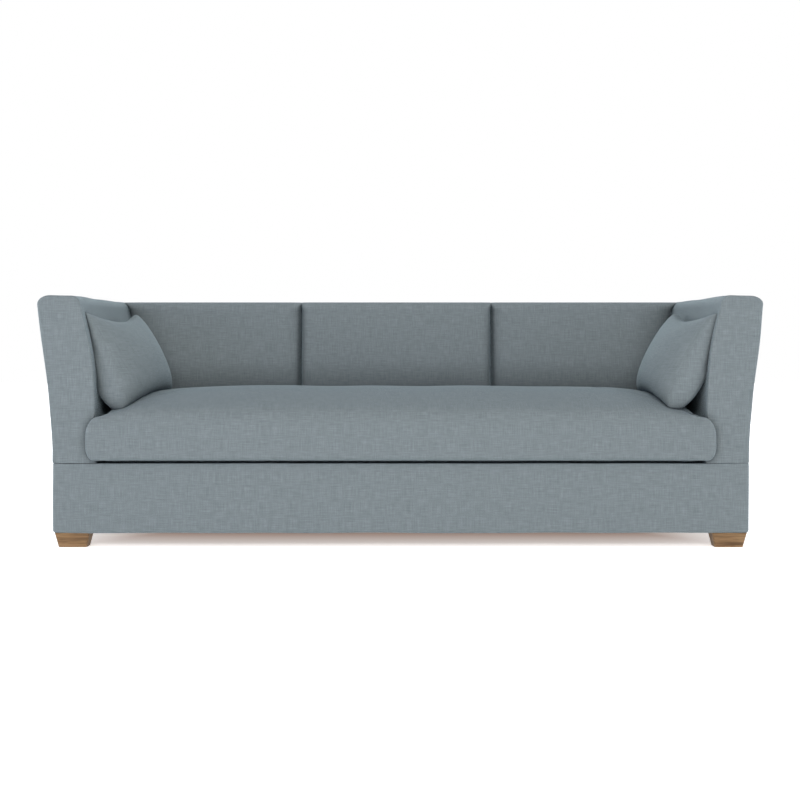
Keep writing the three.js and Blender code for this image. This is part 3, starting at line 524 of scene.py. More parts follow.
def woven_cloth(name, tones, pitch, painted_shade_reach=None, rough=0.92, sheen=0.40):
    """Plain weave of uneven heathered yarn: slubs along both threads over a soft mottle.

    Shade is painted into the cloth's colour in creases, darker where other surfaces lie within the
    reach of that painted shade."""
    material, tree, shader = new_material(name)
    place = node(tree, "ShaderNodeUVMap", uv_map="weave").outputs[0]
    tone = 0.0
    for scale, detail, share in YARN_LAYERS:
        yarn = stretched_noise(tree, place, scale, detail)
        tone = math_node(tree, "MULTIPLY_ADD", yarn, share, tone)
    color = ramp(tree, tone, YARN_STOPS, tones)
    turn = 2 * math.pi / pitch
    waves = [math_node(tree, "SINE", math_node(tree, "MULTIPLY", axis, turn))
             for axis in split_axes(tree, place)[:2]]
    weave = math_node(tree, "MULTIPLY", *waves)
    height = math_node(tree, "MULTIPLY_ADD", weave, THREAD_RELIEF,
                       math_node(tree, "MULTIPLY", tone, YARN_RELIEF))
    shadow = math_node(tree, "MULTIPLY_ADD", weave, *THREAD_SHADE)
    shaded = blend(tree, 1.0, color, shadow, "MULTIPLY")
    # Painted shade: an occlusion probe darkens the colour in creases, under things and between
    # parts
    occlusion = node(tree, "ShaderNodeAmbientOcclusion", samples=PAINTED_SHADE_SAMPLES)
    set_inputs(occlusion, Distance=painted_shade_reach_inside(tree) if painted_shade_reach is None else painted_shade_reach)
    depth = math_node(tree, "MULTIPLY_ADD", occlusion.outputs["AO"], 1 - PAINTED_SHADE_DARKEST, PAINTED_SHADE_DARKEST)
    set_inputs(shader, Base_Color=blend(tree, depth, (0, 0, 0), shaded), Roughness=rough,
               Specular_IOR_Level=0.15, Sheen_Weight=sheen, Sheen_Tint=SHEEN_TINT,
               Sheen_Roughness=0.45)
    bump(tree, shader, height, *WEAVE_BUMP)
    return material


def grained_wood(name, tones, along, rough):
    """Wood whose grain runs along an axis, with long pores."""
    material, tree, shader = new_material(name)
    place = object_place(tree)
    grain, pore = (tuple(scales[0] if axis == along else scales[1] for axis in "xyz")
                   for scales in (GRAIN_SCALES, PORE_SCALES))
    pores = stretched_noise(tree, place, pore, 1.0)
    color = ramp(tree, stretched_noise(tree, place, grain, 5.0), WOOD_STOPS, tones)
    shaded = blend(tree, 1.0, color, ramp(tree, pores, PORE_STOPS, PORE_TONES), "MULTIPLY")
    set_inputs(shader, Base_Color=shaded, Roughness=rough, Specular_IOR_Level=0.4)
    bump(tree, shader, pores, *PORE_BUMP)
    return material


def felted(name, tones, rough=0.95):
    """Nonwoven or felted cloth: a fine uneven surface."""
    material, tree, shader = new_material(name)
    fine = stretched_noise(tree, object_place(tree), FELT_SCALES, 3.0)
    set_inputs(shader, Base_Color=ramp(tree, fine, FELT_STOPS, tones), Roughness=rough)
    bump(tree, shader, fine, *FELT_BUMP)
    return material


def drawn_steel(name):
    """Oiled spring wire with fine drawing marks."""
    material, tree, shader = new_material(name)
    marks = stretched_noise(tree, object_place(tree), STEEL_SCALES, 2.0)
    color = ramp(tree, marks, STEEL_STOPS, STEEL_TONES)
    set_inputs(shader, Base_Color=color, Metallic=1.0, Roughness=0.38)
    bump(tree, shader, marks, *STEEL_BUMP)
    return material


# The cloth's copies below differ only in how far the painted shade in their creases reaches
COVER = woven_cloth("blue_grey_linen_weave", HEATHER_TONES, WEAVE_PITCH)
PILLOW_COVER = woven_cloth("pillow_linen_weave", HEATHER_TONES, WEAVE_PITCH, PILLOW_PAINTED_SHADE_REACH)
BASE_COVER = woven_cloth("base_linen_weave", HEATHER_TONES, WEAVE_PITCH, BASE_PAINTED_SHADE_REACH)
BACK_COVER = woven_cloth("back_linen_weave", HEATHER_TONES, WEAVE_PITCH, BACK_PAINTED_SHADE_REACH)
DECK_CLOTH = woven_cloth("deck_cloth", DECK_TONES, DECK_PITCH)
STRAP_CLOTH = woven_cloth("jute_webbing", JUTE_TONES, JUTE_PITCH, JUTE_PAINTED_SHADE_REACH, 0.95, 0.1)
OAK = grained_wood("oiled_oak", OAK_TONES, "x", 0.5)
HARDWOOD = grained_wood("frame_hardwood", HARDWOOD_TONES, "x", 0.75)
UPRIGHT_WOOD = grained_wood("upright_hardwood", HARDWOOD_TONES, "z", 0.75)
DUST_CLOTH = felted("black_dust_cloth", DUST_TONES)
ZIP_CLOTH = felted("zip_tape", ZIP_TONES, 0.6)
STEEL = drawn_steel("spring_wire")


# Covers of the arms, the base and the outside back

def skin(name, rows, thickness, centre):
    """Open skin over rows of points, facing away from a centre, with a thickness inwards."""
    size = len(rows[0])
    verts = [point for row in rows for point in row]
    piece = link(name, verts, quads(len(rows), size, size - 1))
    face_out(piece)
    mesh = piece.data
    away = sum(face.normal.dot(face.center - Vector(centre)) * face.area for face in mesh.polygons)
    if away < 0:
        mesh.flip_normals()
    wall = piece.modifiers.new("wall", "SOLIDIFY")
    wall.thickness = thickness
    wall.offset = -1
    return piece


TURNS = [step / 8 * math.pi / 2 for step in range(9)]


def seam_curl(z):
    """How far a cover is drawn in beside the base seam."""
    return SEAM_CURL * (1 - roll_share(abs(z - SEAM_Z), SEAM_CURL_REACH))


def arm_section(y, inner_roll, outer_roll, top_roll):
    """Outline of an arm at a depth, from the inner seam over the top to the outer seam."""
    inner_turn = TOP_Z - PAD_TOP_ROLL
    outer_turn = TOP_Z - CORNER_DROP
    low = SEAM_Z + GAP
    by_seam = [low + step for step in SEAM_STEPS]
    points = []
    for z in by_seam + spread(low + SEAM_CLEAR, inner_turn, 26):
        points.append((inner_x(z) + inner_roll + seam_curl(z), z))
    for turn in TURNS[1:]:
        x = inner_x(inner_turn) + inner_roll + INNER_CORNER_WIDTH * (1 - math.cos(turn))
        points.append((x, inner_turn + (PAD_TOP_ROLL - top_roll) * math.sin(turn)))
    first = points[-1]
    last_x = outer_x(outer_turn) - outer_roll - CORNER_WIDTH
    for share in shares(6)[1:-1]:
        points.append((mix(first[0], last_x, share), first[1]))
    for turn in reversed(TURNS):
        x = outer_x(outer_turn) - outer_roll - CORNER_WIDTH * (1 - math.cos(turn))
        points.append((x, outer_turn + (CORNER_DROP - top_roll) * math.sin(turn)))
    for z in spread(outer_turn, low + SEAM_CLEAR, 26)[1:] + by_seam[::-1]:
        points.append((outer_x(z) - outer_roll - seam_curl(z), z))
    return [Vector((x, y, z)) for x, z in points]


def arm_rows():
    """Rows of an arm's skin from the middle of its front face to the outside back."""
    rows = []
    flat = arm_section(FRONT_Y, ARM_INNER_ROLL, ARM_OUTER_ROLL, ARM_TOP_ROLL)
    for share in FACE_SHARES:
        row = []
        for point, facing in zip(flat, reversed(flat)):
            z = min((point.z + facing.z) / 2, TOP_Z - FACE_SPINE_DROP)
            spine = Vector(((inner_x(z) + outer_x(z)) / 2, FRONT_Y, z))
            row.append(spine.lerp(point, share) + Vector((0, FACE_DISH * share ** 4, 0)))
        rows.append(row)
    for turn in reversed(TURNS):
        inward = 1 - math.cos(turn)
        y = FRONT_Y + ARM_FRONT_ROLL * (1 - math.sin(turn)) + FACE_DISH * inward
        rows.append(arm_section(y, ARM_INNER_ROLL * inward, ARM_OUTER_ROLL * inward,
                                ARM_TOP_ROLL * inward))
    front = rows[-1]
    for share in shares(26)[1:]:
        row = []
        for point in front:
            rear = back_y(point.z) - COVER_WALL - GAP
            row.append(Vector((point.x, mix(point.y, rear, share), point.z)))
        rows.append(row)
    return rows


def make_arm(name, side):
    rows = [[Vector((side * p.x, p.y, p.z)) for p in row] for row in arm_rows()]
    middle = (side * (BASE_HALF - ARM_WIDTH / 2), 0, TOP_Z / 2)
    piece = skin(f"{name}_arm", rows, ARM_SKIN, middle)
    soften(piece, *ARM_PADDING, 3 + side, lambda co: min(1.0, (co.z - SEAM_Z) / ARM_CALM))
    soften(piece, *ARM_SEAM_WRINKLE, 8 + side,
           lambda co: max(0.0, 1 - (co.z - SEAM_Z) / ARM_CALM))
    dress(piece, "frame_body", "cover_fabric", COVER, f"{name}_arm_cover")


def band_heights():
    """Heights of the rows of a base band, close together at its hem and at the seam."""
    hem_low, hem_high = BAND_HEM
    return ([BASE_BOTTOM] + spread(BASE_BOTTOM + hem_low, BASE_BOTTOM + hem_high, 3)
            + spread(BASE_BOTTOM + BAND_CLEAR, SEAM_Z - SEAM_CLEAR, 9)
            + [SEAM_Z - step for step in reversed(SEAM_STEPS)])


def band_inset(z):
    low = BAND_DRAW * (1 - roll_share(z - BASE_BOTTOM, BAND_ROLL))
    return low + seam_curl(z)


def make_band(name, rows, seed, node_name):
    piece = skin(name, rows, BAND_SKIN, (0, 0, SEAM_Z / 2))
    soften(piece, *BAND_PADDING, seed)
    dress(piece, "frame_body", "cover_fabric", BASE_COVER, node_name)


def make_long_band(name, y, direction, node_name):
    """Front or back band of the base, wrapped round both corners."""
    rows = []
    for z in band_heights():
        inset = band_inset(z)
        half = BASE_HALF - inset
        face = y + direction * inset
        radius = COVER_WALL - inset
        right = [Vector((half - radius + radius * math.sin(turn),
                         face + direction * radius * (1 - math.cos(turn)), z)) for turn in TURNS]
        middle = [Vector((x, face, z)) for x in spread(-(half - radius), half - radius, 90)]
        left = [Vector((-p.x, p.y, z)) for p in reversed(right)]
        rows.append(left[:-1] + middle + right[1:])
    make_band(name, rows, 5 + direction, node_name)


def make_side_band(name, side):
    rows = []
    ends = (FRONT_Y + COVER_WALL + GAP, REAR_Y - COVER_WALL - GAP)
    for z in band_heights():
        x = side * (BASE_HALF - band_inset(z))
        rows.append([Vector((x, y, z)) for y in spread(*ends, 40)])
    make_band(f"{name}_base_band", rows, 11 + side, f"base_{name}_cover")


def make_outside_back():
    """Tight panel behind the frame, its edge rolled over the top and the sides."""
    turn_z = TOP_Z - CORNER_DROP
    heights = [(z, outer_x(z)) for z in [SEAM_Z + step for step in BACK_SEAM_STEPS]
               + spread(SEAM_Z + BACK_SEAM_CLEAR, turn_z, 26)]
    for turn in TURNS[1:]:
        half = outer_x(turn_z) - CORNER_WIDTH * (1 - math.cos(turn))
        heights.append((turn_z + CORNER_DROP * math.sin(turn), half))
    rows = []
    for z, half in heights:
        face = back_y(z) - seam_curl(z)
        edge = [(half - inset, inset) for inset in BACK_EDGE_INSETS]
        across = [(x, COVER_WALL) for x in spread(half - COVER_WALL, -(half - COVER_WALL), 80)]
        places = edge[:-1] + across + [(-x, inset) for x, inset in edge[::-1][1:]]
        row = []
        for x, inset in places:
            roll = min(roll_share(inset, COVER_WALL), roll_share(TOP_Z - z, COVER_WALL))
            row.append(Vector((x, face - COVER_WALL * (1 - max(roll, BACK_EDGE_WALL)), z)))
        rows.append(row)
    piece = skin("outside_back", rows, BACK_SKIN, (0, 0, TOP_Z / 2))
    soften(piece, *OUTSIDE_PADDING, 21)
    dress(piece, "frame_body", "cover_fabric", COVER, "outside_back_cover")


# Padded back sections between the seams and the arms

def back_section_rows(left, right, count):
    """Rows across a section; each end is (x at a height, sink, roll, offset into the arm)."""
    rows = []
    places = [("left", share * left["roll"]) for share in PAD_ROLL_SHARES]
    places += [("middle", share) for share in shares(count)[1:-1]]
    places += [("right", share * right["roll"]) for share in reversed(PAD_ROLL_SHARES)]
    turn_z = TOP_Z - PAD_TOP_ROLL
    low = TOP_Z - PAD_LIP

    def rear_face(z):
        return BACK_FACE_Y + PAD_DEPTH + BACK_RAKE * (z - SEAM_Z) / (TOP_Z - SEAM_Z)

    for end_name, distance in places:
        end = right if end_name == "right" else left
        full = 1.0
        slot = 0.0
        if end_name != "middle":
            full = roll_share(distance + end["hidden"], end["roll"] + end["hidden"])
            slot = 1 - roll_share(distance, SLOT_ROLL)
        sink = end["sink"] * (1 - full) + SLOT_SINK * slot
        drop = TOP_SINK * (1 - full) + SLOT_DROP * slot

        def sunk(z):
            return sink * smooth_step((TOP_Z - z) / SEAM_FADE)

        points = [(back_full_y(z) + sunk(z), z) for z in spread(SEAM_Z + GAP, turn_z, 34)]
        for turn in TURNS[1:]:
            z = turn_z + (PAD_TOP_ROLL - drop) * math.sin(turn)
            y = back_full_y(turn_z) + sunk(z) + PAD_TOP_ROLL * (1 - math.cos(turn))
            points.append((y, z))
        top = TOP_Z - drop
        rear = back_y(top) - COVER_WALL - GAP
        front = points[-1][0]
        points += [(mix(front, rear, share), top) for share in PAD_TOP_SHARES]
        points.append((back_y(low) - COVER_WALL - GAP, low))
        points.append((rear_face(low), low))
        points += [(rear_face(z), z) for z in spread(low - PAD_LIP_STEP, SEAM_Z + GAP, 12)]
        row = []
        for y, z in points:
            low_x, high_x = left["x"](z), right["x"](z)
            if end_name == "left":
                x = low_x + distance
            elif end_name == "right":
                x = high_x - distance
            else:
                x = mix(low_x + left["roll"], high_x - right["roll"], distance)
            row.append(Vector((x, y, z)))
        rows.append(row)
    return rows


def make_back_section(name, left, right, count, seed):
    piece = loft(f"{name}_back_pad", back_section_rows(left, right, count))
    soften(piece, *PAD_PADDING, seed,
           lambda co: 1.0 if co.y < BACK_FACE_Y + PAD_SOFT_DEPTH else 0.0)
    dress(piece, "frame_body", "cover_fabric", BACK_COVER, f"{name}_back_section")


def seam_end(x, roll):
    """End of a back section at a seam."""
    return {"x": lambda z: x, "sink": SEAM_SINK, "roll": roll, "hidden": 0.0}


def arm_face_x(z):
    """Inner face of an arm, with the rounded corner at its top."""
    turn_z = TOP_Z - PAD_TOP_ROLL
    share = min(max(z - turn_z, 0.0) / PAD_TOP_ROLL, 1.0)
    return inner_x(min(z, turn_z)) + INNER_CORNER_WIDTH * (1 - math.sqrt(1 - share * share))


def arm_end(side):
    """End of a back section against an arm."""
    return {"x": lambda z: side * (arm_face_x(z) - ARM_SIDE_GAP), "sink": ARM_SIDE_SINK,
            "roll": ARM_SIDE_ROLL, "hidden": ARM_SIDE_HIDDEN}


# Seat cushion

def cushion_crown_at(x, y):
    """Crown of the cushion's top above its rim."""
    middle = (CUSHION_FRONT + CUSHION_REAR) / 2
    half_depth = (CUSHION_REAR - CUSHION_FRONT) / 2
    share_x = min(abs(x) / CUSHION_HALF, 1)
    share_y = min(abs(y - middle) / half_depth, 1)
    flat, across, along = CROWN_POWERS
    return CUSHION_CROWN * (1 - share_x ** flat) ** across * (1 - share_y * share_y) ** along


def cushion_top_at(x, y):
    inward = min(CUSHION_HALF - abs(x), y - CUSHION_FRONT, CUSHION_REAR - y)
    return (SEAM_Z + CUSHION_RIM_START + CUSHION_RIM_RISE * roll_share(inward, CUSHION_RIM_ROLL)
            + cushion_crown_at(x, y))


def smooth_step(value):
    share = min(max(value, 0.0), 1.0)
    return share * share * (3 - 2 * share)


def lobe_share(x):
    """How far a place along the front has gone over into the lobe at that end."""
    return smooth_step((abs(x) - (CUSHION_HALF - LOBE_START)) / LOBE_BLEND)


def cushion_ring(inset, height, lobe_height, lobe_out, lobe_inset, tip):
    """One level of the cushion, drawn in by an inset, with a lobe wrapped in front of each arm.

    The lobe has its own height, reach beyond the end, inset of its front and half depth."""
    left_share = 1 - inset / ((CUSHION_REAR - CUSHION_FRONT) / 2)
    front = CUSHION_FRONT + inset
    lobe_front = CUSHION_FRONT + (min(lobe_inset, inset) if inset > LOBE_LEVEL else lobe_inset)
    rear = CUSHION_REAR - inset
    side = CUSHION_HALF - inset
    out = max(CUSHION_HALF + lobe_out, side + LOBE_THIN)
    half = []
    for share in spread(0, CUSHION_FRONT_SPAN, 52):
        x = share * side
        half.append((x, mix(front, lobe_front, lobe_share(x))))
    for step in range(9):
        turn = (-1 + 1.5 * step / 8) * math.pi / 2
        half.append((out - tip * (1 - math.cos(turn)), lobe_front + tip * (1 + math.sin(turn))))
    neck = (ARM_FRONT_ROLL + inset) * left_share
    neck_y = lobe_front + 2 * tip
    for turn in reversed(TURNS[::2]):
        x = side + (out - side - tip) * (1 - math.cos(turn))
        half.append((x, neck_y + neck * (1 - math.sin(turn))))
    corner = CUSHION_CORNER * left_share
    for share in shares(24)[1:]:
        half.append((side, mix(neck_y + neck, rear - corner, share)))
    for turn in TURNS[1:]:
        half.append((side - corner * (1 - math.cos(turn)), rear - corner * (1 - math.sin(turn))))
    half += [(share * side, rear) for share in spread(CUSHION_REAR_SPAN, 0, 45)]
    outline = half + [(-x, y) for x, y in half[1:-1]][::-1]
    ring = []
    for x, y in outline:
        lobe = lobe_share(x) * smooth_step((CUSHION_FRONT + LOBE_DEPTH - y) / LOBE_DEPTH_BLEND)
        ring.append(Vector((x, y, mix(height(x, y), lobe_height, lobe))))
    return ring


def cushion_rings():
    """Levels of the cushion, from the middle of its underside to the middle of its top."""
    low = CUSHION_BOTTOM
    wall = low + CUSHION_WALL_START
    rim = SEAM_Z + CUSHION_RIM_START
    top = rim + CUSHION_RIM_RISE
    lobe_rim = SEAM_Z + LOBE_RIM
    heel = low + CUSHION_HEEL_RISE
    half_depth = (CUSHION_REAR - CUSHION_FRONT) / 2
    rings = [cushion_ring(inset, lambda x, y: low, low, -inset, inset, LOBE_UNDER_TIPS[0])
             for inset in CUSHION_UNDER_INSETS]
    rings.append(cushion_ring(CUSHION_HEEL_INSET, lambda x, y: heel, heel, -LOBE_HEEL, LOBE_HEEL,
                              LOBE_UNDER_TIPS[1]))
    for turn in TURNS:
        under = 1 - math.sin(turn)
        rise = 1 - math.cos(turn)
        rings.append(cushion_ring(
            CUSHION_UNDER_ROLL * under, lambda x, y: wall + CUSHION_UNDER_ROLL * rise,
            wall + LOBE_UNDER_RISE * rise, LOBE_OUT - LOBE_UNDER_DRAW * under,
            LOBE_UNDER_INSET * under, LOBE_TIP - LOBE_UNDER_THIN * under))
    for share in shares(6)[1:]:
        rings.append(cushion_ring(
            0, lambda x, y: mix(wall + CUSHION_UNDER_ROLL, rim, share),
            mix(wall + LOBE_UNDER_RISE, lobe_rim, share), LOBE_OUT, 0, LOBE_TIP))
    for turn in TURNS[1:]:
        inward = 1 - math.cos(turn)
        rise = math.sin(turn)
        rings.append(cushion_ring(
            CUSHION_RIM_ROLL * inward,
            lambda x, y: rim + CUSHION_RIM_RISE * rise + cushion_crown_at(x, y),
            lobe_rim + LOBE_RIM_RISE * rise, LOBE_OUT - LOBE_RIM_DRAW * inward,
            LOBE_RIM_INSET * inward, mix(LOBE_TIP, LOBE_THIN, inward)))
    for share in CUSHION_TOP_SHARES:
        deeper = (half_depth - CUSHION_RIM_ROLL) * share
        rings.append(cushion_ring(
            CUSHION_RIM_ROLL + deeper, lambda x, y: top + cushion_crown_at(x, y),
            lobe_rim + LOBE_RIM_RISE, LOBE_OUT - LOBE_RIM_DRAW - LOBE_TOP_DRAW * deeper,
            LOBE_RIM_INSET + LOBE_TOP_DRAW * deeper, LOBE_THIN))
    return rings


def make_cushion():
    piece = loft("seat_cushion", cushion_rings())
    soften(piece, *CUSHION_PADDING, 31,
           lambda co: min(1.0, max(0.0, (co.z - SEAM_Z - CUSHION_CALM) / CUSHION_SOFT_RISE)))
    dress(piece, "seat_cushion", "cover_fabric", COVER, "seat_cushion_cover", "seat_cushion_core")


# Throw pillows

STANDS = {
    "left": {"side": -1, "inset": 0.064, "turn": 9.8, "top_inset": -0.004, "twist": 0.0},
    "right": {"side": 1, "inset": 0.096, "turn": 1.6, "top_inset": 0.006, "twist": -0.022},
}
PILLOW_FORWARD = 0.07
PILLOW_WIDTH = 0.44
PILLOW_HEIGHT = 0.34
PILLOW_LOFT = 0.142
PILLOW_SAG = 0.16
PILLOW_HEM = 0.009
PILLOW_TOP_CORNER = 0.014
PILLOW_EAR_CORNER = 0.002
PILLOW_FOOT_CORNER = 0.018
PILLOW_FRONT_BULGE = 0.016
PILLOW_TOP_WAIST = 0.042
PILLOW_FULLNESS = 0.62
PILLOW_GRID = 44
PILLOW_GRID_EDGE = 82.8
PILLOW_ARM_SQUASH = 0.006
PILLOW_SEAT_SQUASH = 0.004
PILLOW_SETTLE = 0.003


def pressed(distance, squash):
    """Distance from a face that a pillow is pressed against: soft, and never through it."""
    if distance > squash:
        return distance
    return GAP + (squash - GAP) * math.exp((distance - squash) / (squash - GAP))


def pillow_point(a, u, face, twist):
    """Place on a lying pillow, across, up and out, for shares from -1 to 1 across and up."""
    corner = PILLOW_FOOT_CORNER
    if u > 0:
        corner = PILLOW_TOP_CORNER if a > 0 else PILLOW_EAR_CORNER
    across = a * (PILLOW_WIDTH / 2 - corner * abs(u) ** 4)
    up = u * (PILLOW_HEIGHT / 2 - (PILLOW_TOP_WAIST if u > 0 else 0) * (1 - a * a))
    full = math.sqrt(max(0.0, (1 - a * a) * (1 - u * u))) ** PILLOW_FULLNESS
    bulge = PILLOW_FRONT_BULGE * (1 - u * u) * max(0.0, -a) ** 2
    bulge += twist * (1 + a) * (1 + u) / 4
    loft_here = PILLOW_LOFT * (1 - PILLOW_SAG * u)
    return across, up, bulge + face * mix(PILLOW_HEM, loft_here, full) / 2


def place_on_stand(stand, across, up, out):
    """Leans a pillow on its arm; its foot follows the crown of the seat."""
    side = stand["side"]
    turn = math.radians(stand["turn"])
    foot_x = ARM_FOOT_HALF - stand["inset"]
    foot_y = (FRONT_Y + BACK_FACE_Y) / 2 - PILLOW_FORWARD - math.cos(turn) * PILLOW_WIDTH / 2
    foot_z = cushion_top_at(foot_x, foot_y)
    reach = inner_x(foot_z + PILLOW_HEIGHT) - stand["top_inset"] - foot_x
    tilt = math.asin(reach / (PILLOW_HEIGHT * math.cos(turn)))
    across_axis = Vector((-side * math.sin(turn), math.cos(turn), 0))
    outward = Vector((side * math.cos(turn), math.sin(turn), 0))
    up_axis = outward * math.sin(tilt) + Vector((0, 0, math.cos(tilt)))
    out_axis = outward * math.cos(tilt) - Vector((0, 0, math.sin(tilt)))
    foot = Vector((side * foot_x, foot_y, 0)) + across_axis * (across + PILLOW_WIDTH / 2)
    seat_z = mix(foot_z, cushion_top_at(foot.x, foot.y), 0.5 - up / PILLOW_HEIGHT)
    foot.z = seat_z - PILLOW_SETTLE
    point = foot + up_axis * (up + PILLOW_HEIGHT / 2) + out_axis * out
    face = inner_x(point.z)
    x = side * (face - pressed(face - side * point.x, PILLOW_ARM_SQUASH))
    seat = cushion_top_at(x, point.y)
    return Vector((x, point.y, seat + pressed(point.z - seat, PILLOW_SEAT_SQUASH)))


def make_pillow(name):
    """Two faces of a grid that is finer towards the hem, joined round it."""
    stand = STANDS[name]
    count = PILLOW_GRID
    size = count + 1
    edge = math.radians(PILLOW_GRID_EDGE)
    places = [math.sin((2 * share - 1) * edge) / math.sin(edge) for share in shares(count)]
    verts = []
    for face in (-1, 1):
        for u in places:
            verts += [place_on_stand(stand, *pillow_point(a, u, face, stand["twist"]))
                      for a in places]
    faces = []
    for corners in quads(size, size, count):
        faces.append(corners)
        faces.append(tuple(corner + size * size for corner in reversed(corners)))
    rim = list(range(count))
    rim += [row * size + count for row in range(count)]
    rim += [count * size + column for column in range(count, 0, -1)]
    rim += [row * size for row in range(count, 0, -1)]
    for start, end in zip(rim, rim[1:] + rim[:1]):
        faces.append((start, start + size * size, end + size * size, end))
    piece = link(f"{name}_pillow", verts, faces)
    face_out(piece)
    dress(piece, f"{name}_pillow", "cover_fabric", PILLOW_COVER,
          f"{name}_pillow_cover", f"{name}_pillow_insert")


# Seat deck, dust cover, back webbing and the zip of the seat cushion

def make_seat_deck():
    """Quilted deck: flat on top, arched underneath where it lies on the springs."""
    low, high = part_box("seat_deck")
    rows = []
    columns = DECK_QUILTS * 10
    for column in range(columns + 1):
        x = mix(low.x, high.x, column / columns)
        edge = roll_share(min(x - low.x, high.x - x), DECK_EDGE_ROLL)
        along = abs(math.sin(math.pi * DECK_QUILTS * column / columns)) ** 0.5
        ring = []
        for share in shares(30):
            y = mix(high.y, low.y, share)
            across = abs(math.sin(math.pi * DECK_QUILT_ROWS * share)) ** 0.5
            rim = min(edge, roll_share(min(y - low.y, high.y - y), DECK_EDGE_ROLL))
            dip = DECK_STITCH_DIP * (1 - min(along, across)) + DECK_EDGE_DROP * (1 - rim)
            ring.append(Vector((x, y, high.z - dip)))
        for share in shares(16):
            y = mix(low.y, high.y, share)
            lift = SPRING_CROWN * 4 * share * (1 - share)
            ring.append(Vector((x, y, low.z + lift + DECK_EDGE_DROP * (1 - edge))))
        rows.append(ring)
    piece = loft("seat_deck_pad", rows)
    dress(piece, "frame_body", "webbing", DECK_CLOTH, "seat_deck")


def make_dust_cover():
    """Cloth stretched under the rails, sagging a little between them and hemmed at its edges."""
    low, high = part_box("dust_cover")
    rows = []
    for share_y in shares(40):
        y = mix(low.y, high.y, share_y)
        row = []
        for share_x in shares(96):
            x = mix(low.x, high.x, share_x)
            sag = DUST_SAG * math.sin(2 * math.pi * share_x) ** 2 * math.sin(math.pi * share_y)
            hem = min(x - low.x, high.x - x, y - low.y, high.y - y)
            fold = DUST_HEM_STEP * (1 - smooth_step((hem - DUST_HEM) / DUST_HEM_BLEND))
            row.append(Vector((x, y, high.z - sag - fold)))
        rows.append(row)
    piece = skin("dust_cover_cloth", rows, DUST_THICKNESS, (0, 0, TOP_Z))
    dress(piece, "frame_body", "dust_cloth", DUST_CLOTH, "dust_cover")


def strap(name, path, across, facing):
    """Flat strap with soft edges along a path of points."""
    rings = []
    for point in path:
        rings.append([point + across * (STRAP_WIDTH / 2 * u) + facing * (STRAP_THICKNESS / 2 * v)
                      for u, v in STRAP_SECTION])
    return loft(name, rings)


def make_back_webbing():
    """Elastic straps woven over and under each other behind the padded sections."""
    low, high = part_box("back_webbing")
    slope = BACK_RAKE / (TOP_Z - SEAM_Z)
    up = Vector((0, slope, 1)).normalized()
    facing = Vector((0, -1, slope)).normalized()
    lowest, highest = low.z + STRAP_WIDTH / 2, high.z - STRAP_WIDTH / 2
    columns = spread(low.x + STRAP_WIDTH / 2, high.x - STRAP_WIDTH / 2, WEBBING_COLUMNS - 1)
    rows = spread(lowest, highest, WEBBING_ROWS - 1)

    def place(x, z, lift):
        return Vector((x, low.y + slope * (z - low.z) + STRAP_MIDDLE, z)) + facing * lift

    def weave(value, crossings, sign):
        pitch = crossings[1] - crossings[0]
        return sign * STRAP_LIFT * math.cos(math.pi * (value - crossings[0]) / pitch)

    pieces = []
    for index, x in enumerate(columns):
        sign = 1 if index % 2 else -1
        path = [place(x, z, weave(z, rows, sign)) for z in spread(low.z, high.z, 36)]
        pieces.append(strap("webbing", path, Vector((1, 0, 0)), facing))
    for index, z in enumerate(rows):
        sign = -1 if index % 2 else 1
        path = [place(x, z, weave(x, columns, sign)) for x in spread(low.x, high.x, 110)]
        pieces.append(strap("webbing", path, up, facing))
    piece = joined("back_webbing_straps", pieces)
    dress(piece, "frame_body", "webbing", STRAP_CLOTH, "back_webbing")


def joined(name, pieces):
    """One piece made of several closed ones."""
    verts, faces = [], []
    for part in pieces:
        start = len(verts)
        verts += [vertex.co.copy() for vertex in part.data.vertices]
        faces += [tuple(start + index for index in face.vertices) for face in part.data.polygons]
        bpy.data.objects.remove(part)
    return link(name, verts, faces)


def rod(start, end, radius, sides):
    """Short round bar between two points, with softened, closed ends."""
    along = (end - start).normalized()
    side = along.orthogonal().normalized()
    other = along.cross(side)
    turns = [2 * math.pi * step / sides for step in range(sides)]
    tip = radius * ROD_TIP
    rings = [[point + (side * math.cos(turn) + other * math.sin(turn)) * width for turn in turns]
             for point, width in ((start, tip), (start.lerp(end, ROD_SHOULDER), radius),
                                  (start.lerp(end, 1 - ROD_SHOULDER), radius), (end, tip))]
    return loft("rod", rings)


def make_cushion_zip():
    """Two tapes, the row of teeth that joins them and the slider, behind the cushion."""
    low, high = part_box("seat_cushion_zip")
    middle = (low.z + high.z) / 2
    face = high.y + ZIP_PROUD
    back = face - ZIP_TAPE_THICKNESS
    parts = []
    for sign in (-1, 1):
        inner, outer = middle + sign * ZIP_SLOT, middle + sign * (high.z - middle)
        parts.append(loft("tape", [
            [Vector((x, face, inner)), Vector((x, face, outer)),
             Vector((x, back, outer)), Vector((x, back, inner))]
            for x in spread(low.x, high.x, 60)]))
    for step in range(int((high.x - low.x - 2 * ZIP_END) / ZIP_TOOTH_PITCH)):
        x = low.x + ZIP_END + step * ZIP_TOOTH_PITCH
        z = middle + (ZIP_TOOTH_SHIFT if step % 2 else -ZIP_TOOTH_SHIFT)
        parts.append(rod(Vector((x, face, z - ZIP_TOOTH_HALF)),
                         Vector((x, face, z + ZIP_TOOTH_HALF)), ZIP_TOOTH_RADIUS, 5))
    x = low.x + ZIP_END / 2
    y = face + ZIP_SLIDER_PROUD
    parts.append(rod(Vector((x - ZIP_SLIDER_HALF, y, middle)),
                     Vector((x + ZIP_SLIDER_HALF, y, middle)), ZIP_SLIDER_RADIUS, 8))
    piece = joined("seat_cushion_zipper", parts)
    dress(piece, "seat_cushion", "zip", ZIP_CLOTH, "seat_cushion_zip")


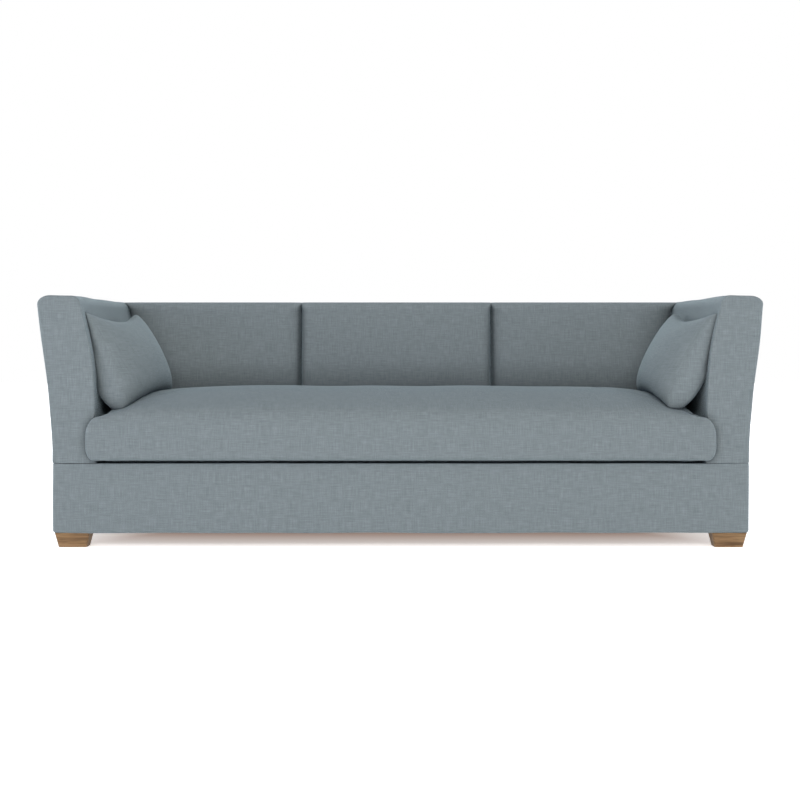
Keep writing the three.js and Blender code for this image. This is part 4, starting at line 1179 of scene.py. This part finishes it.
make_seat_deck()
make_dust_cover()
make_back_webbing()
make_cushion_zip()
make_arm("left", -1)
make_arm("right", 1)
make_long_band("front_base_band", FRONT_Y, 1, "base_front_cover")
make_long_band("back_base_band", REAR_Y, -1, "base_back_cover")
make_side_band("left", -1)
make_side_band("right", 1)
make_outside_back()
make_back_section("left", arm_end(-1), seam_end(SEAMS[0] + SEAM_SNUG, SEAM_ROLL), 12, 41)
make_back_section("centre", seam_end(SEAMS[0] + GAP, CENTRE_SEAM_ROLL),
                  seam_end(SEAMS[1] - GAP, CENTRE_SEAM_ROLL), 16, 43)
make_back_section("right", seam_end(SEAMS[1] - SEAM_SNUG, SEAM_ROLL), arm_end(1), 12, 47)
make_cushion()
make_pillow("left")
make_pillow("right")


# Materials of the timber, the springs and the feet that are shown as they are

for name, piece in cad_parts.items():
    if piece.hide_render:
        continue
    material = HARDWOOD
    if "spring" in name:
        material = STEEL
    elif "foot" in name:
        material = OAK
    elif "post" in name or "upright" in name:
        material = UPRIGHT_WOOD
    lay_cloth(piece)
    for slot in piece.material_slots:
        slot.material = material


# Studio: a white floor, soft light all round and the camera of the photo

WHITE = (1.0, 1.0, 1.0)
FLOOR_CORNERS = ((-12, -9, 0), (12, -9, 0), (12, 14, 0), (-12, 14, 0))
FLOOR_GREY = (0.93, 0.93, 0.93, 1)
FLOOR_GLOW = 0.365
DEEP_SHADOW = (0.28, 0.20, 0.165)
EDGE_SHADOW = (0.70, 0.66, 0.63)
SHADOW_DEPTH = 0.28
SHADOW_REACH = 0.16
HORIZON_LIGHT = 0.31
ZENITH_LIGHT = 0.35
SKY_TINT = (0.97, 0.985, 1.0, 1)

WARM_LIGHT = (1.0, 0.99, 0.97)
FILL_LIGHT = (0.84, 0.90, 1.36)
SIDE_LIGHT = (0.94, 0.98, 1.04)
REAR_LIGHT = (0.97, 0.99, 1.02)
# name, place, aim, size, watts, color
LAMPS = (
    ("key", (0, -7.5, 4.5), (0, 0, 0.5), (6.0, 2.0), 318, WARM_LIGHT),
    ("overhead", (0, -3.2, 4.2), (0, 0, 0.5), (5.0, 2.0), 59, WARM_LIGHT),
    ("left_fill", (-3.6, -3.6, 1.6), (-0.6, 0, 0.4), (1.6, 1.6), 14, FILL_LIGHT),
    ("left_side", (-6.0, 0.4, 1.1), (0, 0, 0.5), (2.5, 1.2), 120, SIDE_LIGHT),
    ("right_side", (6.0, 0.4, 1.1), (0, 0, 0.5), (2.5, 1.2), 120, SIDE_LIGHT),
    ("rear", (0, 6.0, 0.9), (0, 0, 0.4), (5.0, 1.4), 130, REAR_LIGHT),
    ("right_fill", (3.6, -3.6, 1.6), (0.6, 0, 0.4), (1.6, 1.6), 6, FILL_LIGHT),
)

# Camera: the photo's picture size, focal length and horizon in pixels, and its place in metres
PICTURE_SIZE = 800
FOCAL_LENGTH = 1176.6
HORIZON_ROW = 340.5
RIGHT_SHIFT = 0.8
SENSOR_WIDTH = 36
CAMERA_BACK = 3.7
CAMERA_HEIGHT = 0.653


def make_floor():
    """White floor that glows a little, lighting the sofa like a lamp; the camera sees it washed
    out to the backdrop's white, but for a shadow painted round and under the base.
    """
    floor = link("floor", FLOOR_CORNERS, [(0, 1, 2, 3)])
    material, tree, shader = new_material("white_floor")
    set_inputs(shader, Base_Color=FLOOR_GREY, Roughness=0.9, Specular_IOR_Level=0.0)
    axes = split_axes(tree, object_place(tree))
    across = math_node(tree, "SUBTRACT", math_node(tree, "ABSOLUTE", axes[0]), BASE_HALF)
    from_middle = math_node(tree, "SUBTRACT", axes[1], (FRONT_Y + REAR_Y) / 2)
    along = math_node(tree, "SUBTRACT", math_node(tree, "ABSOLUTE", from_middle),
                      (REAR_Y - FRONT_Y) / 2)
    outside = math_node(tree, "MAXIMUM", across, along)
    # Painted shadow, seen only by the camera: darkest deep under the base, paler at its edge and
    # white beyond
    under = blend(tree, fade(tree, outside, -SHADOW_DEPTH, 0.0), DEEP_SHADOW, EDGE_SHADOW)
    shadow = blend(tree, fade(tree, outside, 0.0, SHADOW_REACH), under, WHITE)
    # Camera rays see the painted shadow; all other rays see the floor's glow, painted light that
    # lights the sofa from below
    path = node(tree, "ShaderNodeLightPath")
    glow = blend(tree, path.outputs["Is Camera Ray"], (FLOOR_GLOW,) * 3, shadow)
    set_inputs(shader, Emission_Color=glow, Emission_Strength=1.0)
    floor.data.materials.append(material)


def make_light(name, place, aim, size, power, color):
    light = bpy.data.lights.new(name, "AREA")
    light.shape = "RECTANGLE"
    light.size, light.size_y = size
    light.energy = power
    light.color = color
    lamp = add_object(name, light)
    lamp.location = place
    lamp.rotation_mode = "QUATERNION"
    lamp.rotation_quaternion = (Vector(aim) - Vector(place)).to_track_quat("-Z", "Y")
    lamp.visible_camera = False


def make_world():
    """Light from all round, a little brighter overhead; the camera sees plain white."""
    world = bpy.data.worlds.new("studio")
    bpy.context.scene.world = world
    world.use_nodes = True
    tree = world.node_tree
    tree.nodes.clear()
    axes = split_axes(tree, node(tree, "ShaderNodeTexCoord").outputs["Generated"])
    up = math_node(tree, "MAXIMUM", axes[2], 0.0)
    strength = math_node(tree, "MULTIPLY_ADD", up, ZENITH_LIGHT - HORIZON_LIGHT, HORIZON_LIGHT)
    ambient = node(tree, "ShaderNodeBackground")
    set_inputs(ambient, Color=SKY_TINT, Strength=strength)
    white = node(tree, "ShaderNodeBackground")
    set_inputs(white, Color=WHITE, Strength=1.0)
    path = node(tree, "ShaderNodeLightPath")
    mixer = node(tree, "ShaderNodeMixShader")
    output = node(tree, "ShaderNodeOutputWorld")
    sources = (path.outputs["Is Camera Ray"], ambient.outputs[0], white.outputs[0])
    for socket, source in zip(mixer.inputs, sources):
        feed(socket, source)
    set_inputs(output, Surface=mixer.outputs[0])


def make_camera():
    data = bpy.data.cameras.new("camera")
    camera = add_object("camera", data)
    data.sensor_width = SENSOR_WIDTH
    data.lens = SENSOR_WIDTH * FOCAL_LENGTH / PICTURE_SIZE
    data.shift_x = -RIGHT_SHIFT / PICTURE_SIZE
    data.shift_y = (HORIZON_ROW - PICTURE_SIZE / 2) / PICTURE_SIZE
    data.clip_end = 60
    camera.location = (0, FRONT_Y - CAMERA_BACK, CAMERA_HEIGHT)
    camera.rotation_euler = (math.pi / 2, 0, 0)
    bpy.context.scene.camera = camera


make_floor()
make_world()
for lamp in LAMPS:
    make_light(*lamp)
make_camera()
bpy.context.scene.view_settings.view_transform = "Standard"
